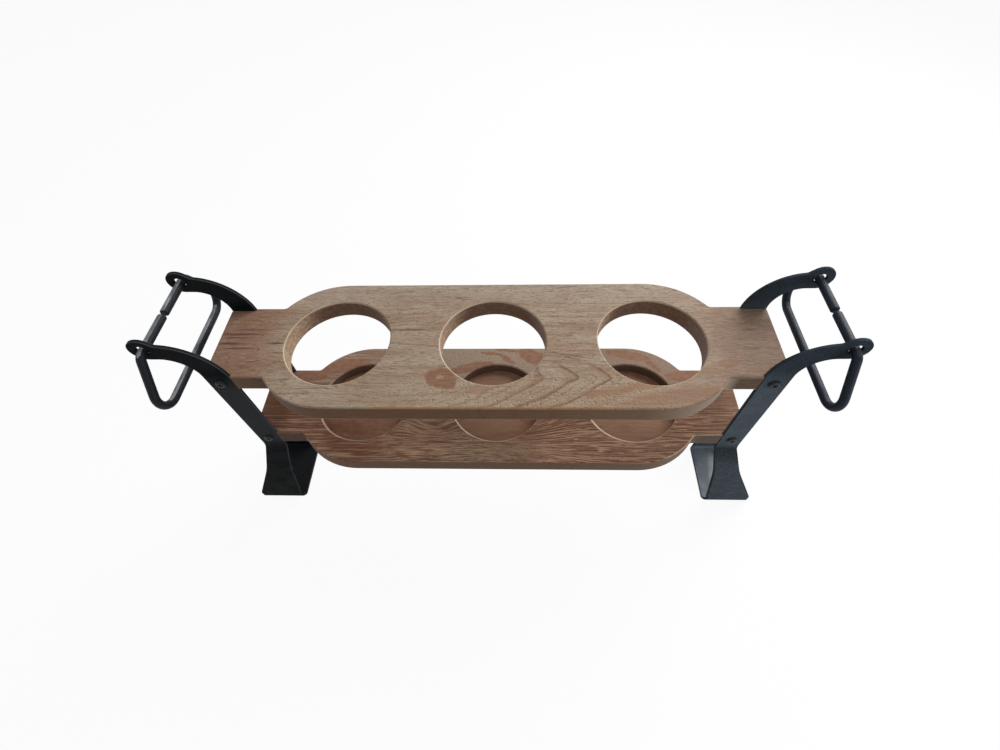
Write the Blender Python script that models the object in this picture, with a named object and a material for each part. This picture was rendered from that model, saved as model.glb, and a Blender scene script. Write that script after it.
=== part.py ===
"""Utensil caddy for three round jars.

Two wooden boards of one outline are carried between two end frames. Each frame is a single flat bar,
bent into two feet, a floor bar, two uprights and two arms. A bail of round rod swings in the eyes at
the ends of the arms.

Metres, +Z up. The origin is on the floor under the middle. X runs along the caddy, -Y is its front.
"""
import math

import bmesh
import bpy
from mathutils import Matrix, Vector

# Clearances
FIT_GAP = 0.0003                # between pieces that touch
CUT_OVERRUN = 0.002             # how far a cutter passes the face it opens

# Jars
JAR_RADIUS = 0.045              # of the holes and of the recesses under them
JAR_BRIDGE = 0.0435             # wood between two holes
JAR_WALL = 0.022                # wood between a hole and the board's edge
JAR_COUNT = 3

# Boards
BOARD_THICKNESS = 0.018
BOARD_EDGE_RADIUS = 0.0016
RECESS_FLOOR = 0.006            # wood left under a recess
TAB_LENGTH = 0.0375             # beyond the round end of the board
TAB_WIDTH = 0.076
TAB_CORNER_RADIUS = 0.005
NECK_RADIUS = 0.004             # where a tab runs into the round end
LOWER_BOARD_TOP = 0.172
BOARD_SPACING = 0.096           # from top to top

# End frames
BAR_THICKNESS = 0.003
BAR_EDGE_RADIUS = 0.0006
UPRIGHT_WIDTH = 0.022
UPRIGHT_SETBACK = 0.0005        # from the end of the tab to the upright's outer edge
ARM_UNDERSIDE_RISE = 0.0239     # above the upper board
ARM_DEPTH = 0.0157
ARM_OUTER_BEND_RADIUS = 0.0426
ARM_INNER_BEND_RADIUS = 0.0224
EYE_REACH = 0.0287              # from the upright's outer edge to the middle of the eye
EYE_PLAY = 0.0013               # between the rod and the eye's hole, all round
EYE_WALL = 0.0062
EYE_NECK_RADIUS = 0.006         # where the arm swells into the eye
KNEE_DROP = 0.008               # from the lower board to where the uprights start to splay
KNEE_RADIUS = 0.030
CALF_DROP = 0.062               # from the knee to where the inner edge steepens again
CALF_RADIUS = 0.300
CALF_INNER_SPLAY = 0.0191       # beyond the upright's inner edge
CALF_OUTER_SPLAY = 0.0254       # beyond the upright's outer edge
FOOT_INNER_SPLAY = 0.0350
FOOT_OUTER_SPLAY = 0.0620
FLOOR_BAR_INNER_SPLAY = 0.0315
FLOOR_BAR_OUTER_SPLAY = 0.0635
HEEL_HEIGHT = 0.014             # the outer edge turns upright just above the floor
HEEL_RADIUS = 0.012
FOLD_INNER_RADIUS = 0.003       # from the foot to the floor bar

# Bails
ROD_RADIUS = 0.0035
BAIL_DROP = 0.0502              # from the hinge axis to the middle of the grip
BAIL_SHOULDER = 0.0050          # from the frame's face to the corner beside the eye
BAIL_FLARE = 29.5               # degrees that each side leans outward
BAIL_SHOULDER_BEND_RADIUS = 0.0070
BAIL_CORNER_BEND_RADIUS = 0.0140
BAIL_END_GAP = 0.0024           # between the two ends of the rod
ROD_END_RADIUS = 0.0015

# Screws
SCREW_HEAD_RADIUS = 0.0050
SCREW_HEAD_HEIGHT = 0.0028
SCREW_FACE_RADIUS = 0.0034      # flat at the top of the domed head
SCREW_SHANK_RADIUS = 0.0020
SCREW_LENGTH = 0.0220
SCREW_TIP_LENGTH = 0.0040
SCREW_TIP_RADIUS = 0.0004
CROSS_REACH = 0.0026            # of the driver recess, from its middle
CROSS_HALF_WIDTH = 0.0009
CROSS_DEPTH = 0.0016
CROSS_TAPER_SHARE = 0.7         # size of the recess at its bottom

# Fineness
ARC_DEVIATION = 0.0001          # how far the sides of an arc may lie inside its circle
FOLD_STEPS = 5
DOME_STEPS = 2
JAR_SIDES = 56
EYE_SIDES = 24
SCREW_SIDES = 20
SCREW_HOLE_SIDES = 12
ROD_RESOLUTION = 8

# Places that follow from the sizes
JAR_SPACING = 2 * JAR_RADIUS + JAR_BRIDGE
END_JAR_X = JAR_SPACING * (JAR_COUNT - 1) / 2
BOARD_HALF_WIDTH = JAR_RADIUS + JAR_WALL
BOARD_END = END_JAR_X + BOARD_HALF_WIDTH + TAB_LENGTH
UPPER_BOARD_TOP = LOWER_BOARD_TOP + BOARD_SPACING
UPRIGHT_OUTER = BOARD_END - UPRIGHT_SETBACK
UPRIGHT_INNER = UPRIGHT_OUTER - UPRIGHT_WIDTH
FRAME_FACE = TAB_WIDTH / 2      # the uprights lie flush in the tabs' edges
ARM_UNDERSIDE = UPPER_BOARD_TOP + ARM_UNDERSIDE_RISE
EYE_HOLE_RADIUS = ROD_RADIUS + EYE_PLAY
EYE_RADIUS = EYE_HOLE_RADIUS + EYE_WALL
EYE_X = UPRIGHT_OUTER + EYE_REACH
EYE_Z = ARM_UNDERSIDE + EYE_RADIUS
HINGE_Z = EYE_Z - (EYE_PLAY - FIT_GAP)      # the rod lies at the bottom of the eye
KNEE_HEIGHT = LOWER_BOARD_TOP - BOARD_THICKNESS - KNEE_DROP
CALF_HEIGHT = KNEE_HEIGHT - CALF_DROP
FOLD_RADIUS = FOLD_INNER_RADIUS + BAR_THICKNESS
SCREW_X = (UPRIGHT_INNER + UPRIGHT_OUTER) / 2
SCREW_HEIGHTS = {
    "upper": UPPER_BOARD_TOP - BOARD_THICKNESS / 2,
    "lower": LOWER_BOARD_TOP - BOARD_THICKNESS / 2,
}
SIDES = {"left": -1, "right": 1}
FACES = {"front": -1, "rear": 1}


def clear_scene():
    for item in list(bpy.data.objects):
        bpy.data.objects.remove(item, do_unlink=True)


def make_material(name, colour, roughness, metallic):
    material = bpy.data.materials.new(name)
    material.use_nodes = True
    shader = material.node_tree.nodes["Principled BSDF"]
    shader.inputs["Base Color"].default_value = (*colour, 1)
    shader.inputs["Roughness"].default_value = roughness
    shader.inputs["Metallic"].default_value = metallic
    return material


def limed_oak():
    return make_material("limed_oak", (0.33, 0.24, 0.17), 0.75, 0)


def stained_oak():
    return make_material("stained_oak", (0.20, 0.11, 0.07), 0.75, 0)


def black_bar():
    return make_material("black_bar", (0.025, 0.027, 0.030), 0.55, 0.6)


def black_rod():
    return make_material("black_rod", (0.030, 0.031, 0.033), 0.38, 0.8)


def black_screw():
    return make_material("black_screw", (0.020, 0.020, 0.022), 0.45, 0.8)


def make_object(name, bm, material):
    bmesh.ops.recalc_face_normals(bm, faces=bm.faces)
    mesh = bpy.data.meshes.new(name)
    bm.to_mesh(mesh)
    bm.free()
    mesh.shade_smooth()
    mesh.set_sharp_from_angle(angle=math.radians(35))
    item = bpy.data.objects.new(name, mesh)
    bpy.context.collection.objects.link(item)
    if material:
        mesh.materials.append(material)
    return item


def make_cutter(name, bm):
    item = make_object(name, bm, None)
    item.hide_render = True
    item.display_type = "WIRE"
    return item


def cut(item, cutter):
    modifier = item.modifiers.new("cut_" + cutter.name, "BOOLEAN")
    modifier.operation = "DIFFERENCE"
    modifier.solver = "EXACT"
    modifier.object = cutter


def round_edges(item, radius, segments):
    modifier = item.modifiers.new("round_edges", "BEVEL")
    modifier.width = radius
    modifier.segments = segments
    modifier.limit_method = "ANGLE"
    modifier.angle_limit = math.radians(40)


def arc(centre, radius, start, end):
    """Points on a circle from one angle to another, both included."""
    step = 2 * math.acos(1 - ARC_DEVIATION / radius)
    count = max(1, math.ceil(abs(end - start) / step))
    points = []
    for i in range(count + 1):
        angle = start + (end - start) * i / count
        points.append(Vector((centre[0] + radius * math.cos(angle), centre[1] + radius * math.sin(angle))))
    return points


def rounded_corner(before, corner, after, radius):
    """Arc that replaces the corner of two straight lines."""
    to_before = (Vector(before) - Vector(corner)).normalized()
    to_after = (Vector(after) - Vector(corner)).normalized()
    half_angle = to_before.angle(to_after) / 2
    centre = Vector(corner) + (to_before + to_after).normalized() * radius / math.sin(half_angle)
    reach = radius / math.tan(half_angle)
    first = Vector(corner) + to_before * reach - centre
    last = Vector(corner) + to_after * reach - centre
    start = math.atan2(first.y, first.x)
    turn = math.atan2(first.x * last.y - first.y * last.x, first.dot(last))
    return arc(centre, radius, start, start + turn)


def circle_crossing(centre_a, radius_a, centre_b, radius_b):
    """The crossing of two circles that lies to the left of the line from a to b."""
    across = Vector(centre_b) - Vector(centre_a)
    distance = across.length
    along = (distance ** 2 + radius_a ** 2 - radius_b ** 2) / (2 * distance)
    side = math.sqrt(radius_a ** 2 - along ** 2)
    direction = across / distance
    return Vector(centre_a) + direction * along + Vector((-direction.y, direction.x)) * side


def board_outline():
    """A stadium round the outer holes, with a tab at each end."""
    half_tab = TAB_WIDTH / 2
    neck_y = half_tab + NECK_RADIUS
    neck_x = END_JAR_X + math.sqrt((BOARD_HALF_WIDTH + NECK_RADIUS) ** 2 - neck_y ** 2)
    to_round = math.atan2(-neck_y, END_JAR_X - neck_x)
    tab_corner = (BOARD_END, half_tab)
    quarter = rounded_corner((BOARD_END, 0), tab_corner, (neck_x, half_tab), TAB_CORNER_RADIUS)
    quarter += arc((neck_x, neck_y), NECK_RADIUS, -math.pi / 2, to_round)
    quarter += arc((END_JAR_X, 0), BOARD_HALF_WIDTH, to_round + math.pi, math.pi / 2)
    rear = quarter + [Vector((-p.x, p.y)) for p in reversed(quarter)]
    return rear + [Vector((p.x, -p.y)) for p in reversed(rear)]


def jar_places():
    return [JAR_SPACING * i - END_JAR_X for i in range(JAR_COUNT)]


def cylinder(bm, centre, axis, radius, depth, sides):
    """A closed cylinder whose middle is at centre."""
    turn = Vector((0, 0, 1)).rotation_difference(Vector(axis)).to_matrix().to_4x4()
    bmesh.ops.create_cone(bm, cap_ends=True, segments=sides, radius1=radius, radius2=radius,
                          depth=depth, matrix=Matrix.Translation(centre) @ turn)


def block(bm, low, high):
    """A closed box between two corners."""
    size = Vector(high) - Vector(low)
    middle = (Vector(high) + Vector(low)) / 2
    bmesh.ops.create_cube(bm, size=1, matrix=Matrix.Translation(middle) @ Matrix.Diagonal((*size, 1)))


def jar_cutter(name, low, high):
    bm = bmesh.new()
    for x in jar_places():
        cylinder(bm, (x, 0, (low + high) / 2), (0, 0, 1), JAR_RADIUS, high - low, JAR_SIDES)
    return make_cutter(name, bm)


def seat_cutter(name, top):
    """Rebates that take the uprights, open at the tab's end, above and below."""
    bm = bmesh.new()
    floor = FRAME_FACE - BAR_THICKNESS - FIT_GAP
    for side in SIDES.values():
        for face in FACES.values():
            x = sorted((side * (UPRIGHT_INNER - FIT_GAP), side * (BOARD_END + CUT_OVERRUN)))
            y = sorted((face * floor, face * (FRAME_FACE + CUT_OVERRUN)))
            block(bm, (x[0], y[0], top - BOARD_THICKNESS - CUT_OVERRUN), (x[1], y[1], top + CUT_OVERRUN))
    return make_cutter(name, bm)


def pilot_cutter(name, height):
    """Blind holes for the screws, from the rebates into the tabs."""
    bm = bmesh.new()
    inner = FRAME_FACE + FIT_GAP - SCREW_LENGTH - SCREW_TIP_RADIUS
    outer = FRAME_FACE - BAR_THICKNESS + CUT_OVERRUN
    for side in SIDES.values():
        for face in FACES.values():
            centre = (side * SCREW_X, face * (inner + outer) / 2, height)
            cylinder(bm, centre, (0, 1, 0), SCREW_SHANK_RADIUS + FIT_GAP, outer - inner, SCREW_HOLE_SIDES)
    return make_cutter(name, bm)


def make_board(name, top, jar_bottom, screw_height, material):
    bm = bmesh.new()
    face = bm.faces.new([bm.verts.new((p.x, p.y, top - BOARD_THICKNESS)) for p in board_outline()])
    grown = bmesh.ops.extrude_face_region(bm, geom=[face])
    raised = [v for v in grown["geom"] if isinstance(v, bmesh.types.BMVert)]
    bmesh.ops.translate(bm, verts=raised, vec=(0, 0, BOARD_THICKNESS))
    board = make_object(name, bm, material)
    cut(board, jar_cutter(name + "_jar_cutter", jar_bottom, top + CUT_OVERRUN))
    round_edges(board, BOARD_EDGE_RADIUS, 2)
    cut(board, seat_cutter(name + "_seat_cutter", top))
    cut(board, pilot_cutter(name + "_pilot_cutter", screw_height))
    return board


def make_upper_board():
    bottom = UPPER_BOARD_TOP - BOARD_THICKNESS - CUT_OVERRUN
    return make_board("upper_board", UPPER_BOARD_TOP, bottom, SCREW_HEIGHTS["upper"], limed_oak())


def make_lower_board():
    bottom = LOWER_BOARD_TOP - BOARD_THICKNESS + RECESS_FLOOR
    return make_board("lower_board", LOWER_BOARD_TOP, bottom, SCREW_HEIGHTS["lower"], stained_oak())


def outer_leg_edge():
    """From the fold up the outer edge of foot and upright to the start of the arm's bend."""
    fold = (UPRIGHT_OUTER + FOOT_OUTER_SPLAY, FOLD_RADIUS)
    heel = (UPRIGHT_OUTER + FOOT_OUTER_SPLAY, HEEL_HEIGHT)
    calf = (UPRIGHT_OUTER + CALF_OUTER_SPLAY, CALF_HEIGHT)
    knee = (UPRIGHT_OUTER, KNEE_HEIGHT)
    above = (UPRIGHT_OUTER, UPPER_BOARD_TOP)
    points = [Vector(fold)]
    points += rounded_corner(fold, heel, calf, HEEL_RADIUS)
    points += rounded_corner(heel, calf, knee, CALF_RADIUS)
    points += rounded_corner(calf, knee, above, KNEE_RADIUS)
    return points


def inner_leg_edge():
    """From the upright's inner edge down to the fold."""
    above = (UPRIGHT_INNER, UPPER_BOARD_TOP)
    knee = (UPRIGHT_INNER, KNEE_HEIGHT)
    calf = (UPRIGHT_INNER + CALF_INNER_SPLAY, CALF_HEIGHT)
    fold = (UPRIGHT_INNER + FOOT_INNER_SPLAY, FOLD_RADIUS)
    points = rounded_corner(above, knee, calf, KNEE_RADIUS)
    points += rounded_corner(knee, calf, fold, CALF_RADIUS)
    points.append(Vector(fold))
    return points


def arm_and_eye():
    """Round the inside of the arm's bend, round the eye, and back over the outside of the bend."""
    inside_x = UPRIGHT_OUTER + ARM_INNER_BEND_RADIUS
    inside = Vector((inside_x, ARM_UNDERSIDE - ARM_INNER_BEND_RADIUS))
    outside_x = UPRIGHT_INNER + ARM_OUTER_BEND_RADIUS
    outside = Vector((outside_x, ARM_UNDERSIDE + ARM_DEPTH - ARM_OUTER_BEND_RADIUS))
    eye = Vector((EYE_X, EYE_Z))
    from_outside = ARM_OUTER_BEND_RADIUS + EYE_NECK_RADIUS
    neck = circle_crossing(outside, from_outside, eye, EYE_RADIUS + EYE_NECK_RADIUS)
    neck_to_eye = eye - neck
    neck_to_bend = outside - neck
    eye_end = math.atan2(-neck_to_eye.y, -neck_to_eye.x)
    bend_start = math.atan2(-neck_to_bend.y, -neck_to_bend.x)
    points = arc(inside, ARM_INNER_BEND_RADIUS, math.pi, math.pi / 2)
    points += arc(eye, EYE_RADIUS, -math.pi / 2, eye_end)
    turn_start = math.atan2(neck_to_eye.y, neck_to_eye.x)
    turn_end = math.atan2(neck_to_bend.y, neck_to_bend.x)
    points += arc(neck, EYE_NECK_RADIUS, turn_start, turn_end)[1:-1]
    points += arc(outside, ARM_OUTER_BEND_RADIUS, bend_start, math.pi)
    return points


def eye_cutter(name, side):
    bm = bmesh.new()
    for face in FACES.values():
        middle = (side * EYE_X, face * (FRAME_FACE - BAR_THICKNESS / 2), EYE_Z)
        cylinder(bm, middle, (0, 1, 0), EYE_HOLE_RADIUS, BAR_THICKNESS + CUT_OVERRUN, EYE_SIDES)
    return make_cutter(name, bm)


def screw_hole_cutter(name, side):
    bm = bmesh.new()
    for face in FACES.values():
        for height in SCREW_HEIGHTS.values():
            middle = (side * SCREW_X, face * (FRAME_FACE - BAR_THICKNESS / 2), height)
            radius = SCREW_SHANK_RADIUS + FIT_GAP
            cylinder(bm, middle, (0, 1, 0), radius, BAR_THICKNESS + CUT_OVERRUN, SCREW_HOLE_SIDES)
    return make_cutter(name, bm)


def fold_rows(side):
    """Cross-sections of the bar from the front foot, under the fold, along the floor to the rear foot."""
    foot = (UPRIGHT_INNER + FOOT_INNER_SPLAY, UPRIGHT_OUTER + FOOT_OUTER_SPLAY)
    flat = (UPRIGHT_INNER + FLOOR_BAR_INNER_SPLAY, UPRIGHT_OUTER + FLOOR_BAR_OUTER_SPLAY)
    centre_y = FRAME_FACE - FOLD_RADIUS
    rows = []
    for i in range(1, FOLD_STEPS + 1):
        angle = math.pi / 2 * i / FOLD_STEPS
        share = (1 - math.cos(2 * angle)) / 2
        inner_x = foot[0] + (flat[0] - foot[0]) * share
        outer_x = foot[1] + (flat[1] - foot[1]) * share
        row = []
        for x, radius in ((outer_x, FOLD_RADIUS), (inner_x, FOLD_RADIUS),
                          (inner_x, FOLD_RADIUS - BAR_THICKNESS), (outer_x, FOLD_RADIUS - BAR_THICKNESS)):
            y = centre_y + radius * math.cos(angle)
            z = FOLD_RADIUS - radius * math.sin(angle)
            row.append(Vector((side * x, -y, z)))
        rows.append(row)
    return rows + [[Vector((v.x, -v.y, v.z)) for v in row] for row in reversed(rows)]


def make_end_frame(name, side, material):
    """Two flat plates in the outline of foot, upright, arm and eye, joined by the folded floor bar."""
    outline = outer_leg_edge() + arm_and_eye() + inner_leg_edge()
    bm = bmesh.new()
    ends = []
    for face in FACES.values():
        outside = [bm.verts.new((side * p.x, face * FRAME_FACE, p.y)) for p in outline]
        inside = [bm.verts.new((side * p.x, face * (FRAME_FACE - BAR_THICKNESS), p.y)) for p in outline]
        bm.faces.new(outside)
        bm.faces.new(inside)
        for i in range(len(outline) - 1):
            bm.faces.new((outside[i], outside[i + 1], inside[i + 1], inside[i]))
        ends.append([outside[0], outside[-1], inside[-1], inside[0]])
    rows = [ends[0]]
    rows += [[bm.verts.new(v) for v in row] for row in fold_rows(side)]
    rows.append(ends[1])
    for row, following in zip(rows, rows[1:]):
        for i in range(4):
            j = (i + 1) % 4
            bm.faces.new((row[i], row[j], following[j], following[i]))
    frame = make_object(name, bm, material)
    cut(frame, eye_cutter(name + "_eye_cutter", side))
    round_edges(frame, BAR_EDGE_RADIUS, 1)
    cut(frame, screw_hole_cutter(name + "_screw_cutter", side))
    return frame


def bail_route():
    """Half of the rod's middle line in the hanging plane, from its inner end to the middle of the grip."""
    lean = math.radians(BAIL_FLARE)
    inner_end = (BAIL_END_GAP / 2, 0)
    shoulder = (FRAME_FACE + BAIL_SHOULDER, 0)
    corner = (FRAME_FACE + BAIL_SHOULDER + BAIL_DROP * math.tan(lean), -BAIL_DROP)
    middle = (0, -BAIL_DROP)
    route = [(Vector(inner_end), 1 - ROD_END_RADIUS / ROD_RADIUS)]
    for angle in (math.radians(40), math.radians(90)):
        inset = ROD_END_RADIUS * (1 - math.cos(angle))
        narrowing = ROD_END_RADIUS * (1 - math.sin(angle))
        route.append((Vector(inner_end) + Vector((inset, 0)), 1 - narrowing / ROD_RADIUS))
    route += [(p, 1) for p in rounded_corner(inner_end, shoulder, corner, BAIL_SHOULDER_BEND_RADIUS)]
    route += [(p, 1) for p in rounded_corner(shoulder, corner, middle, BAIL_CORNER_BEND_RADIUS)]
    return route


def make_bail(name, side, material):
    """One bent rod. Its object's origin is on the hinge axis, so it swings about its own Y axis."""
    half = bail_route()
    route = [(Vector((0, -p.x, p.y)), share) for p, share in half]
    route += [(Vector((0, p.x, p.y)), share) for p, share in reversed(half)]
    curve = bpy.data.curves.new(name, "CURVE")
    curve.dimensions = "3D"
    curve.bevel_depth = ROD_RADIUS
    curve.bevel_resolution = ROD_RESOLUTION
    curve.use_fill_caps = True
    spline = curve.splines.new("POLY")
    spline.points.add(len(route) - 1)
    for point, (place, share) in zip(spline.points, route):
        point.co = (*place, 1)
        point.radius = share
    curve.materials.append(material)
    bail = bpy.data.objects.new(name, curve)
    bail.location = (side * EYE_X, 0, HINGE_Z)
    bpy.context.collection.objects.link(bail)
    return bail


def cross_reach(angle):
    """Distance from the middle of a cross-shaped recess to its edge at an angle."""
    quarter = math.pi / 2
    off_arm = abs((angle + quarter / 2) % quarter - quarter / 2)
    if off_arm < math.atan2(CROSS_HALF_WIDTH, CROSS_REACH):
        return CROSS_REACH / math.cos(off_arm)
    return CROSS_HALF_WIDTH / math.sin(off_arm)


def ring(bm, height, reach):
    """A ring of vertices about the Z axis; reach gives its radius at each angle."""
    verts = []
    for i in range(SCREW_SIDES):
        angle = 2 * math.pi * i / SCREW_SIDES
        radius = reach(angle)
        verts.append(bm.verts.new((radius * math.cos(angle), radius * math.sin(angle), height)))
    return verts


def screw_mesh(material):
    """A domed wood screw along Z, with the underside of its head at zero."""
    profile = [
        (-SCREW_LENGTH, SCREW_TIP_RADIUS),
        (-SCREW_LENGTH + SCREW_TIP_LENGTH, SCREW_SHANK_RADIUS),
        (0, SCREW_SHANK_RADIUS),
    ]
    dome = SCREW_HEAD_RADIUS - SCREW_FACE_RADIUS
    for i in range(DOME_STEPS + 1):
        angle = math.pi / 2 * i / DOME_STEPS
        profile.append((SCREW_HEAD_HEIGHT * math.sin(angle), SCREW_FACE_RADIUS + dome * math.cos(angle)))
    bm = bmesh.new()
    rings = [ring(bm, height, lambda angle, r=radius: r) for height, radius in profile]
    rings.append(ring(bm, SCREW_HEAD_HEIGHT, cross_reach))
    bottom = SCREW_HEAD_HEIGHT - CROSS_DEPTH
    rings.append(ring(bm, bottom, lambda angle: CROSS_TAPER_SHARE * cross_reach(angle)))
    for lower, upper in zip(rings, rings[1:]):
        for i in range(SCREW_SIDES):
            j = (i + 1) % SCREW_SIDES
            bm.faces.new((lower[i], lower[j], upper[j], upper[i]))
    bm.faces.new(rings[0])
    bm.faces.new(rings[-1])
    bmesh.ops.recalc_face_normals(bm, faces=bm.faces)
    mesh = bpy.data.meshes.new("screw")
    bm.to_mesh(mesh)
    bm.free()
    mesh.shade_smooth()
    mesh.set_sharp_from_angle(angle=math.radians(35))
    mesh.materials.append(material)
    return mesh


def make_screws():
    """One screw through each upright into the edge of each board."""
    mesh = screw_mesh(black_screw())
    for side_name, side in SIDES.items():
        for face_name, face in FACES.items():
            for board_name, height in SCREW_HEIGHTS.items():
                screw = bpy.data.objects.new(f"screw_{side_name}_{face_name}_{board_name}", mesh)
                screw.location = (side * SCREW_X, face * (FRAME_FACE + FIT_GAP), height)
                screw.rotation_euler = (-face * math.pi / 2, 0, 0)
                bpy.context.collection.objects.link(screw)


def build():
    clear_scene()
    make_upper_board()
    make_lower_board()
    bar = black_bar()
    rod = black_rod()
    for side_name, side in SIDES.items():
        make_end_frame(f"{side_name}_end_frame", side, bar)
        make_bail(f"{side_name}_bail_handle", side, rod)
    make_screws()


build()
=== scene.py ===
# %% [markdown]
# # A utensil caddy
#
# Two oak boards of one outline, three round holes over three round recesses, two black end frames bent
# from flat bar, and a bail of round rod that swings at each end. The model of its solids is loaded first
# and never moves. Everything that is made here is laid exactly where those solids are.

# %% Load the solids
import math
from functools import reduce

import bmesh
import bpy
from bmesh.types import BMEdge, BMVert
from mathutils import Matrix, Vector


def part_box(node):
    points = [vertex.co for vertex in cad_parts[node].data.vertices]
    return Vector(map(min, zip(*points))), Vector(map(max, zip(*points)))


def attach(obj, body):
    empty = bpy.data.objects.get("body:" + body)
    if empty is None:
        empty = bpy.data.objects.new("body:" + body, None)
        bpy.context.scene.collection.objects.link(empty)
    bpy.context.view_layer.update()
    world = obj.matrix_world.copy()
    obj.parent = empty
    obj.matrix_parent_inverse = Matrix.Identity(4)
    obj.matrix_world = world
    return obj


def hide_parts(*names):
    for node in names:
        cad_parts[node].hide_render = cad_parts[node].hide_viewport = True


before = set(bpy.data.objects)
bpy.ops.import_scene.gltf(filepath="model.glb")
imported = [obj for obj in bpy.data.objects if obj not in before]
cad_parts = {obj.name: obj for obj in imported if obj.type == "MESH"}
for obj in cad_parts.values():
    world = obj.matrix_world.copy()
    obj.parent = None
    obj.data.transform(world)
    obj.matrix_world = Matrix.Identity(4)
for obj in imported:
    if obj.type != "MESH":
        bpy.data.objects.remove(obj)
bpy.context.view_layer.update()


# %% [markdown]
# ## Measures
#
# All lengths are metres. X runs along the caddy, the front looks to -Y, and the floor is at zero. A few
# measures are typed in, and the others follow from them, so that the boards, bars and rods still meet
# if one is changed.

# %% Measures of the boards
MM = 1000                         # millimetres in a metre

JAR_RADIUS = 0.045
JAR_PITCH = 0.1335
JAR_PLACES = (-JAR_PITCH, 0.0, JAR_PITCH)
BOARD_HALF_WIDTH = 0.067
BOARD_THICKNESS = 0.018
BOARD_END = 0.238
BOARD_EDGE_RADIUS = 0.0016
BOARD_EDGE_STEPS = 4
TAB_HALF_WIDTH = 0.038
TAB_CORNER_RADIUS = 0.005
NECK_RADIUS = 0.004
SEAT_X = 0.2152                   # where the seat of an upright starts
SEAT_Y = 0.0347
UPPER_BOARD_TOP = 0.268
LOWER_BOARD_TOP = 0.172
RECESS_DEPTH = 0.012
SCREW_X = 0.2265
SCREW_HOLE_RADIUS = 0.0023
PILOT_DEPTH = 0.0188
print("boards reach", 2 * BOARD_END, "by", 2 * BOARD_HALF_WIDTH)

# %% [markdown]
# ## Drawing with a pen
#
# An outline is drawn as with a pen. The pen is one vertex: to draw a line, the vertex is extruded and its
# copy is moved, and to draw a bend it is spun round a centre. A typed list of points would give the same
# outline once, but its bends would stay behind when a radius changes. Spin works on anything that it is
# given, so the same two steps later draw a whole rod, when the pen is a ring instead of a point.

# %% Pen
WELD = 1e-6                       # vertices closer than this become one
SAG = 0.00003                     # how far the straight steps of a bend may stray from its arc


def only(geometry, kind):
    """The vertices, or the edges, among all that an operator returned."""
    return [g for g in geometry if isinstance(g, kind)]


def bend_steps(radius, degrees):
    """How many straight steps a bend takes."""
    step = 2 * math.degrees(math.acos(1 - SAG / radius))
    return max(2, math.ceil(abs(degrees) / step))


def draw_line(bm, pen, x, y):
    """Extrudes the pen to a place and returns the new tip."""
    tip = bmesh.ops.extrude_vert_indiv(bm, verts=[pen])["verts"][0]
    bmesh.ops.translate(bm, verts=[tip], vec=Vector((x, y, 0)) - tip.co)
    return tip


def draw_bend(bm, pen, x, y, degrees):
    """Spins the pen round a centre, anticlockwise where degrees is positive, and returns the new tip."""
    radius = (pen.co - Vector((x, y, pen.co.z))).length
    swung = bmesh.ops.spin(bm, geom=[pen], cent=(x, y, 0), axis=(0, 0, 1), angle=math.radians(degrees),
                           steps=bend_steps(radius, degrees), use_duplicate=False)
    return only(swung["geom_last"], BMVert)[0]


print("steps of a quarter bend of 10 mm:", bend_steps(0.010, 90))

# %% [markdown]
# A corner is drawn as a smith bends a bar: straight on until the bend has to start, and then round a
# centre that lies to one side. How far before the corner the bend starts follows from its radius and from
# how far it turns. An outline that is the same on both sides is drawn once and mirrored.

# %% Corners and mirror images
def corner_bend(before, corner, after, radius):
    """Where the bend that rounds a corner starts, its centre, and how far it turns."""
    inward = (Vector(corner) - Vector(before)).normalized()
    onward = (Vector(after) - Vector(corner)).normalized()
    turn = math.atan2(inward.x * onward.y - inward.y * onward.x, inward.dot(onward))
    start = Vector(corner) - inward * radius * math.tan(abs(turn) / 2)
    centre = start + Vector((-inward.y, inward.x)) * math.copysign(radius, turn)
    return start, centre, math.degrees(turn)


def draw_corner(bm, pen, corner, after, radius):
    """Draws a line towards a corner and rounds it, ready to go on to the next place."""
    start, centre, turn = corner_bend(pen.co.xy, corner, after, radius)
    pen = draw_line(bm, pen, *start)
    return draw_bend(bm, pen, *centre, turn)


def close_outline(bm):
    """Joins the last tip to the first vertex and fills the outline with one face."""
    bmesh.ops.remove_doubles(bm, verts=bm.verts, dist=WELD)
    bmesh.ops.edgeloop_fill(bm, edges=bm.edges)


def mirror_to_rear(bm):
    """Adds the mirror image behind the middle and joins the seam."""
    everything = bm.verts[:] + bm.edges[:] + bm.faces[:]
    bmesh.ops.mirror(bm, geom=everything, matrix=Matrix.Identity(4), merge_dist=WELD, axis="Y")
    bmesh.ops.remove_doubles(bm, verts=bm.verts, dist=WELD)


print("a square corner turns", round(corner_bend((0, 0), (1, 0), (1, 1), 0.1)[2]), "degrees")

# %% [markdown]
# ## Rounding and notes
#
# A sharp edge never looks real, so edges that a router or a file has eased get a bevel. A finish can't
# see where an edge is. So the faces carry notes, which are numbers under a name: 1 under "rim" on an eased
# edge, under "wall" on the outside of a board, under "bore" inside a hole and under "top" on the upper
# side of a rod. The finishes read them to lay edge marks there, most of them painted highlights and
# painted shade, and to give walls and bores their own colour.

# %% Notes and rounding
NOTES = ("rim", "wall", "bore", "top")
EASED_FROM = math.radians(57)     # edges where the faces turn by more than this are eased


def noted_bmesh():
    """An empty bmesh whose faces can carry the notes."""
    bm = bmesh.new()
    for name in NOTES:
        bm.faces.layers.float.new(name)
    return bm


def note_faces(bm, name, faces):
    """Writes a 1 under this name on the faces."""
    for face in faces:
        face[bm.faces.layers.float[name]] = 1.0


def is_sharp(edge):
    """True for an edge that a file or a router would ease."""
    return edge.calc_face_angle(0) > EASED_FROM


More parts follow.
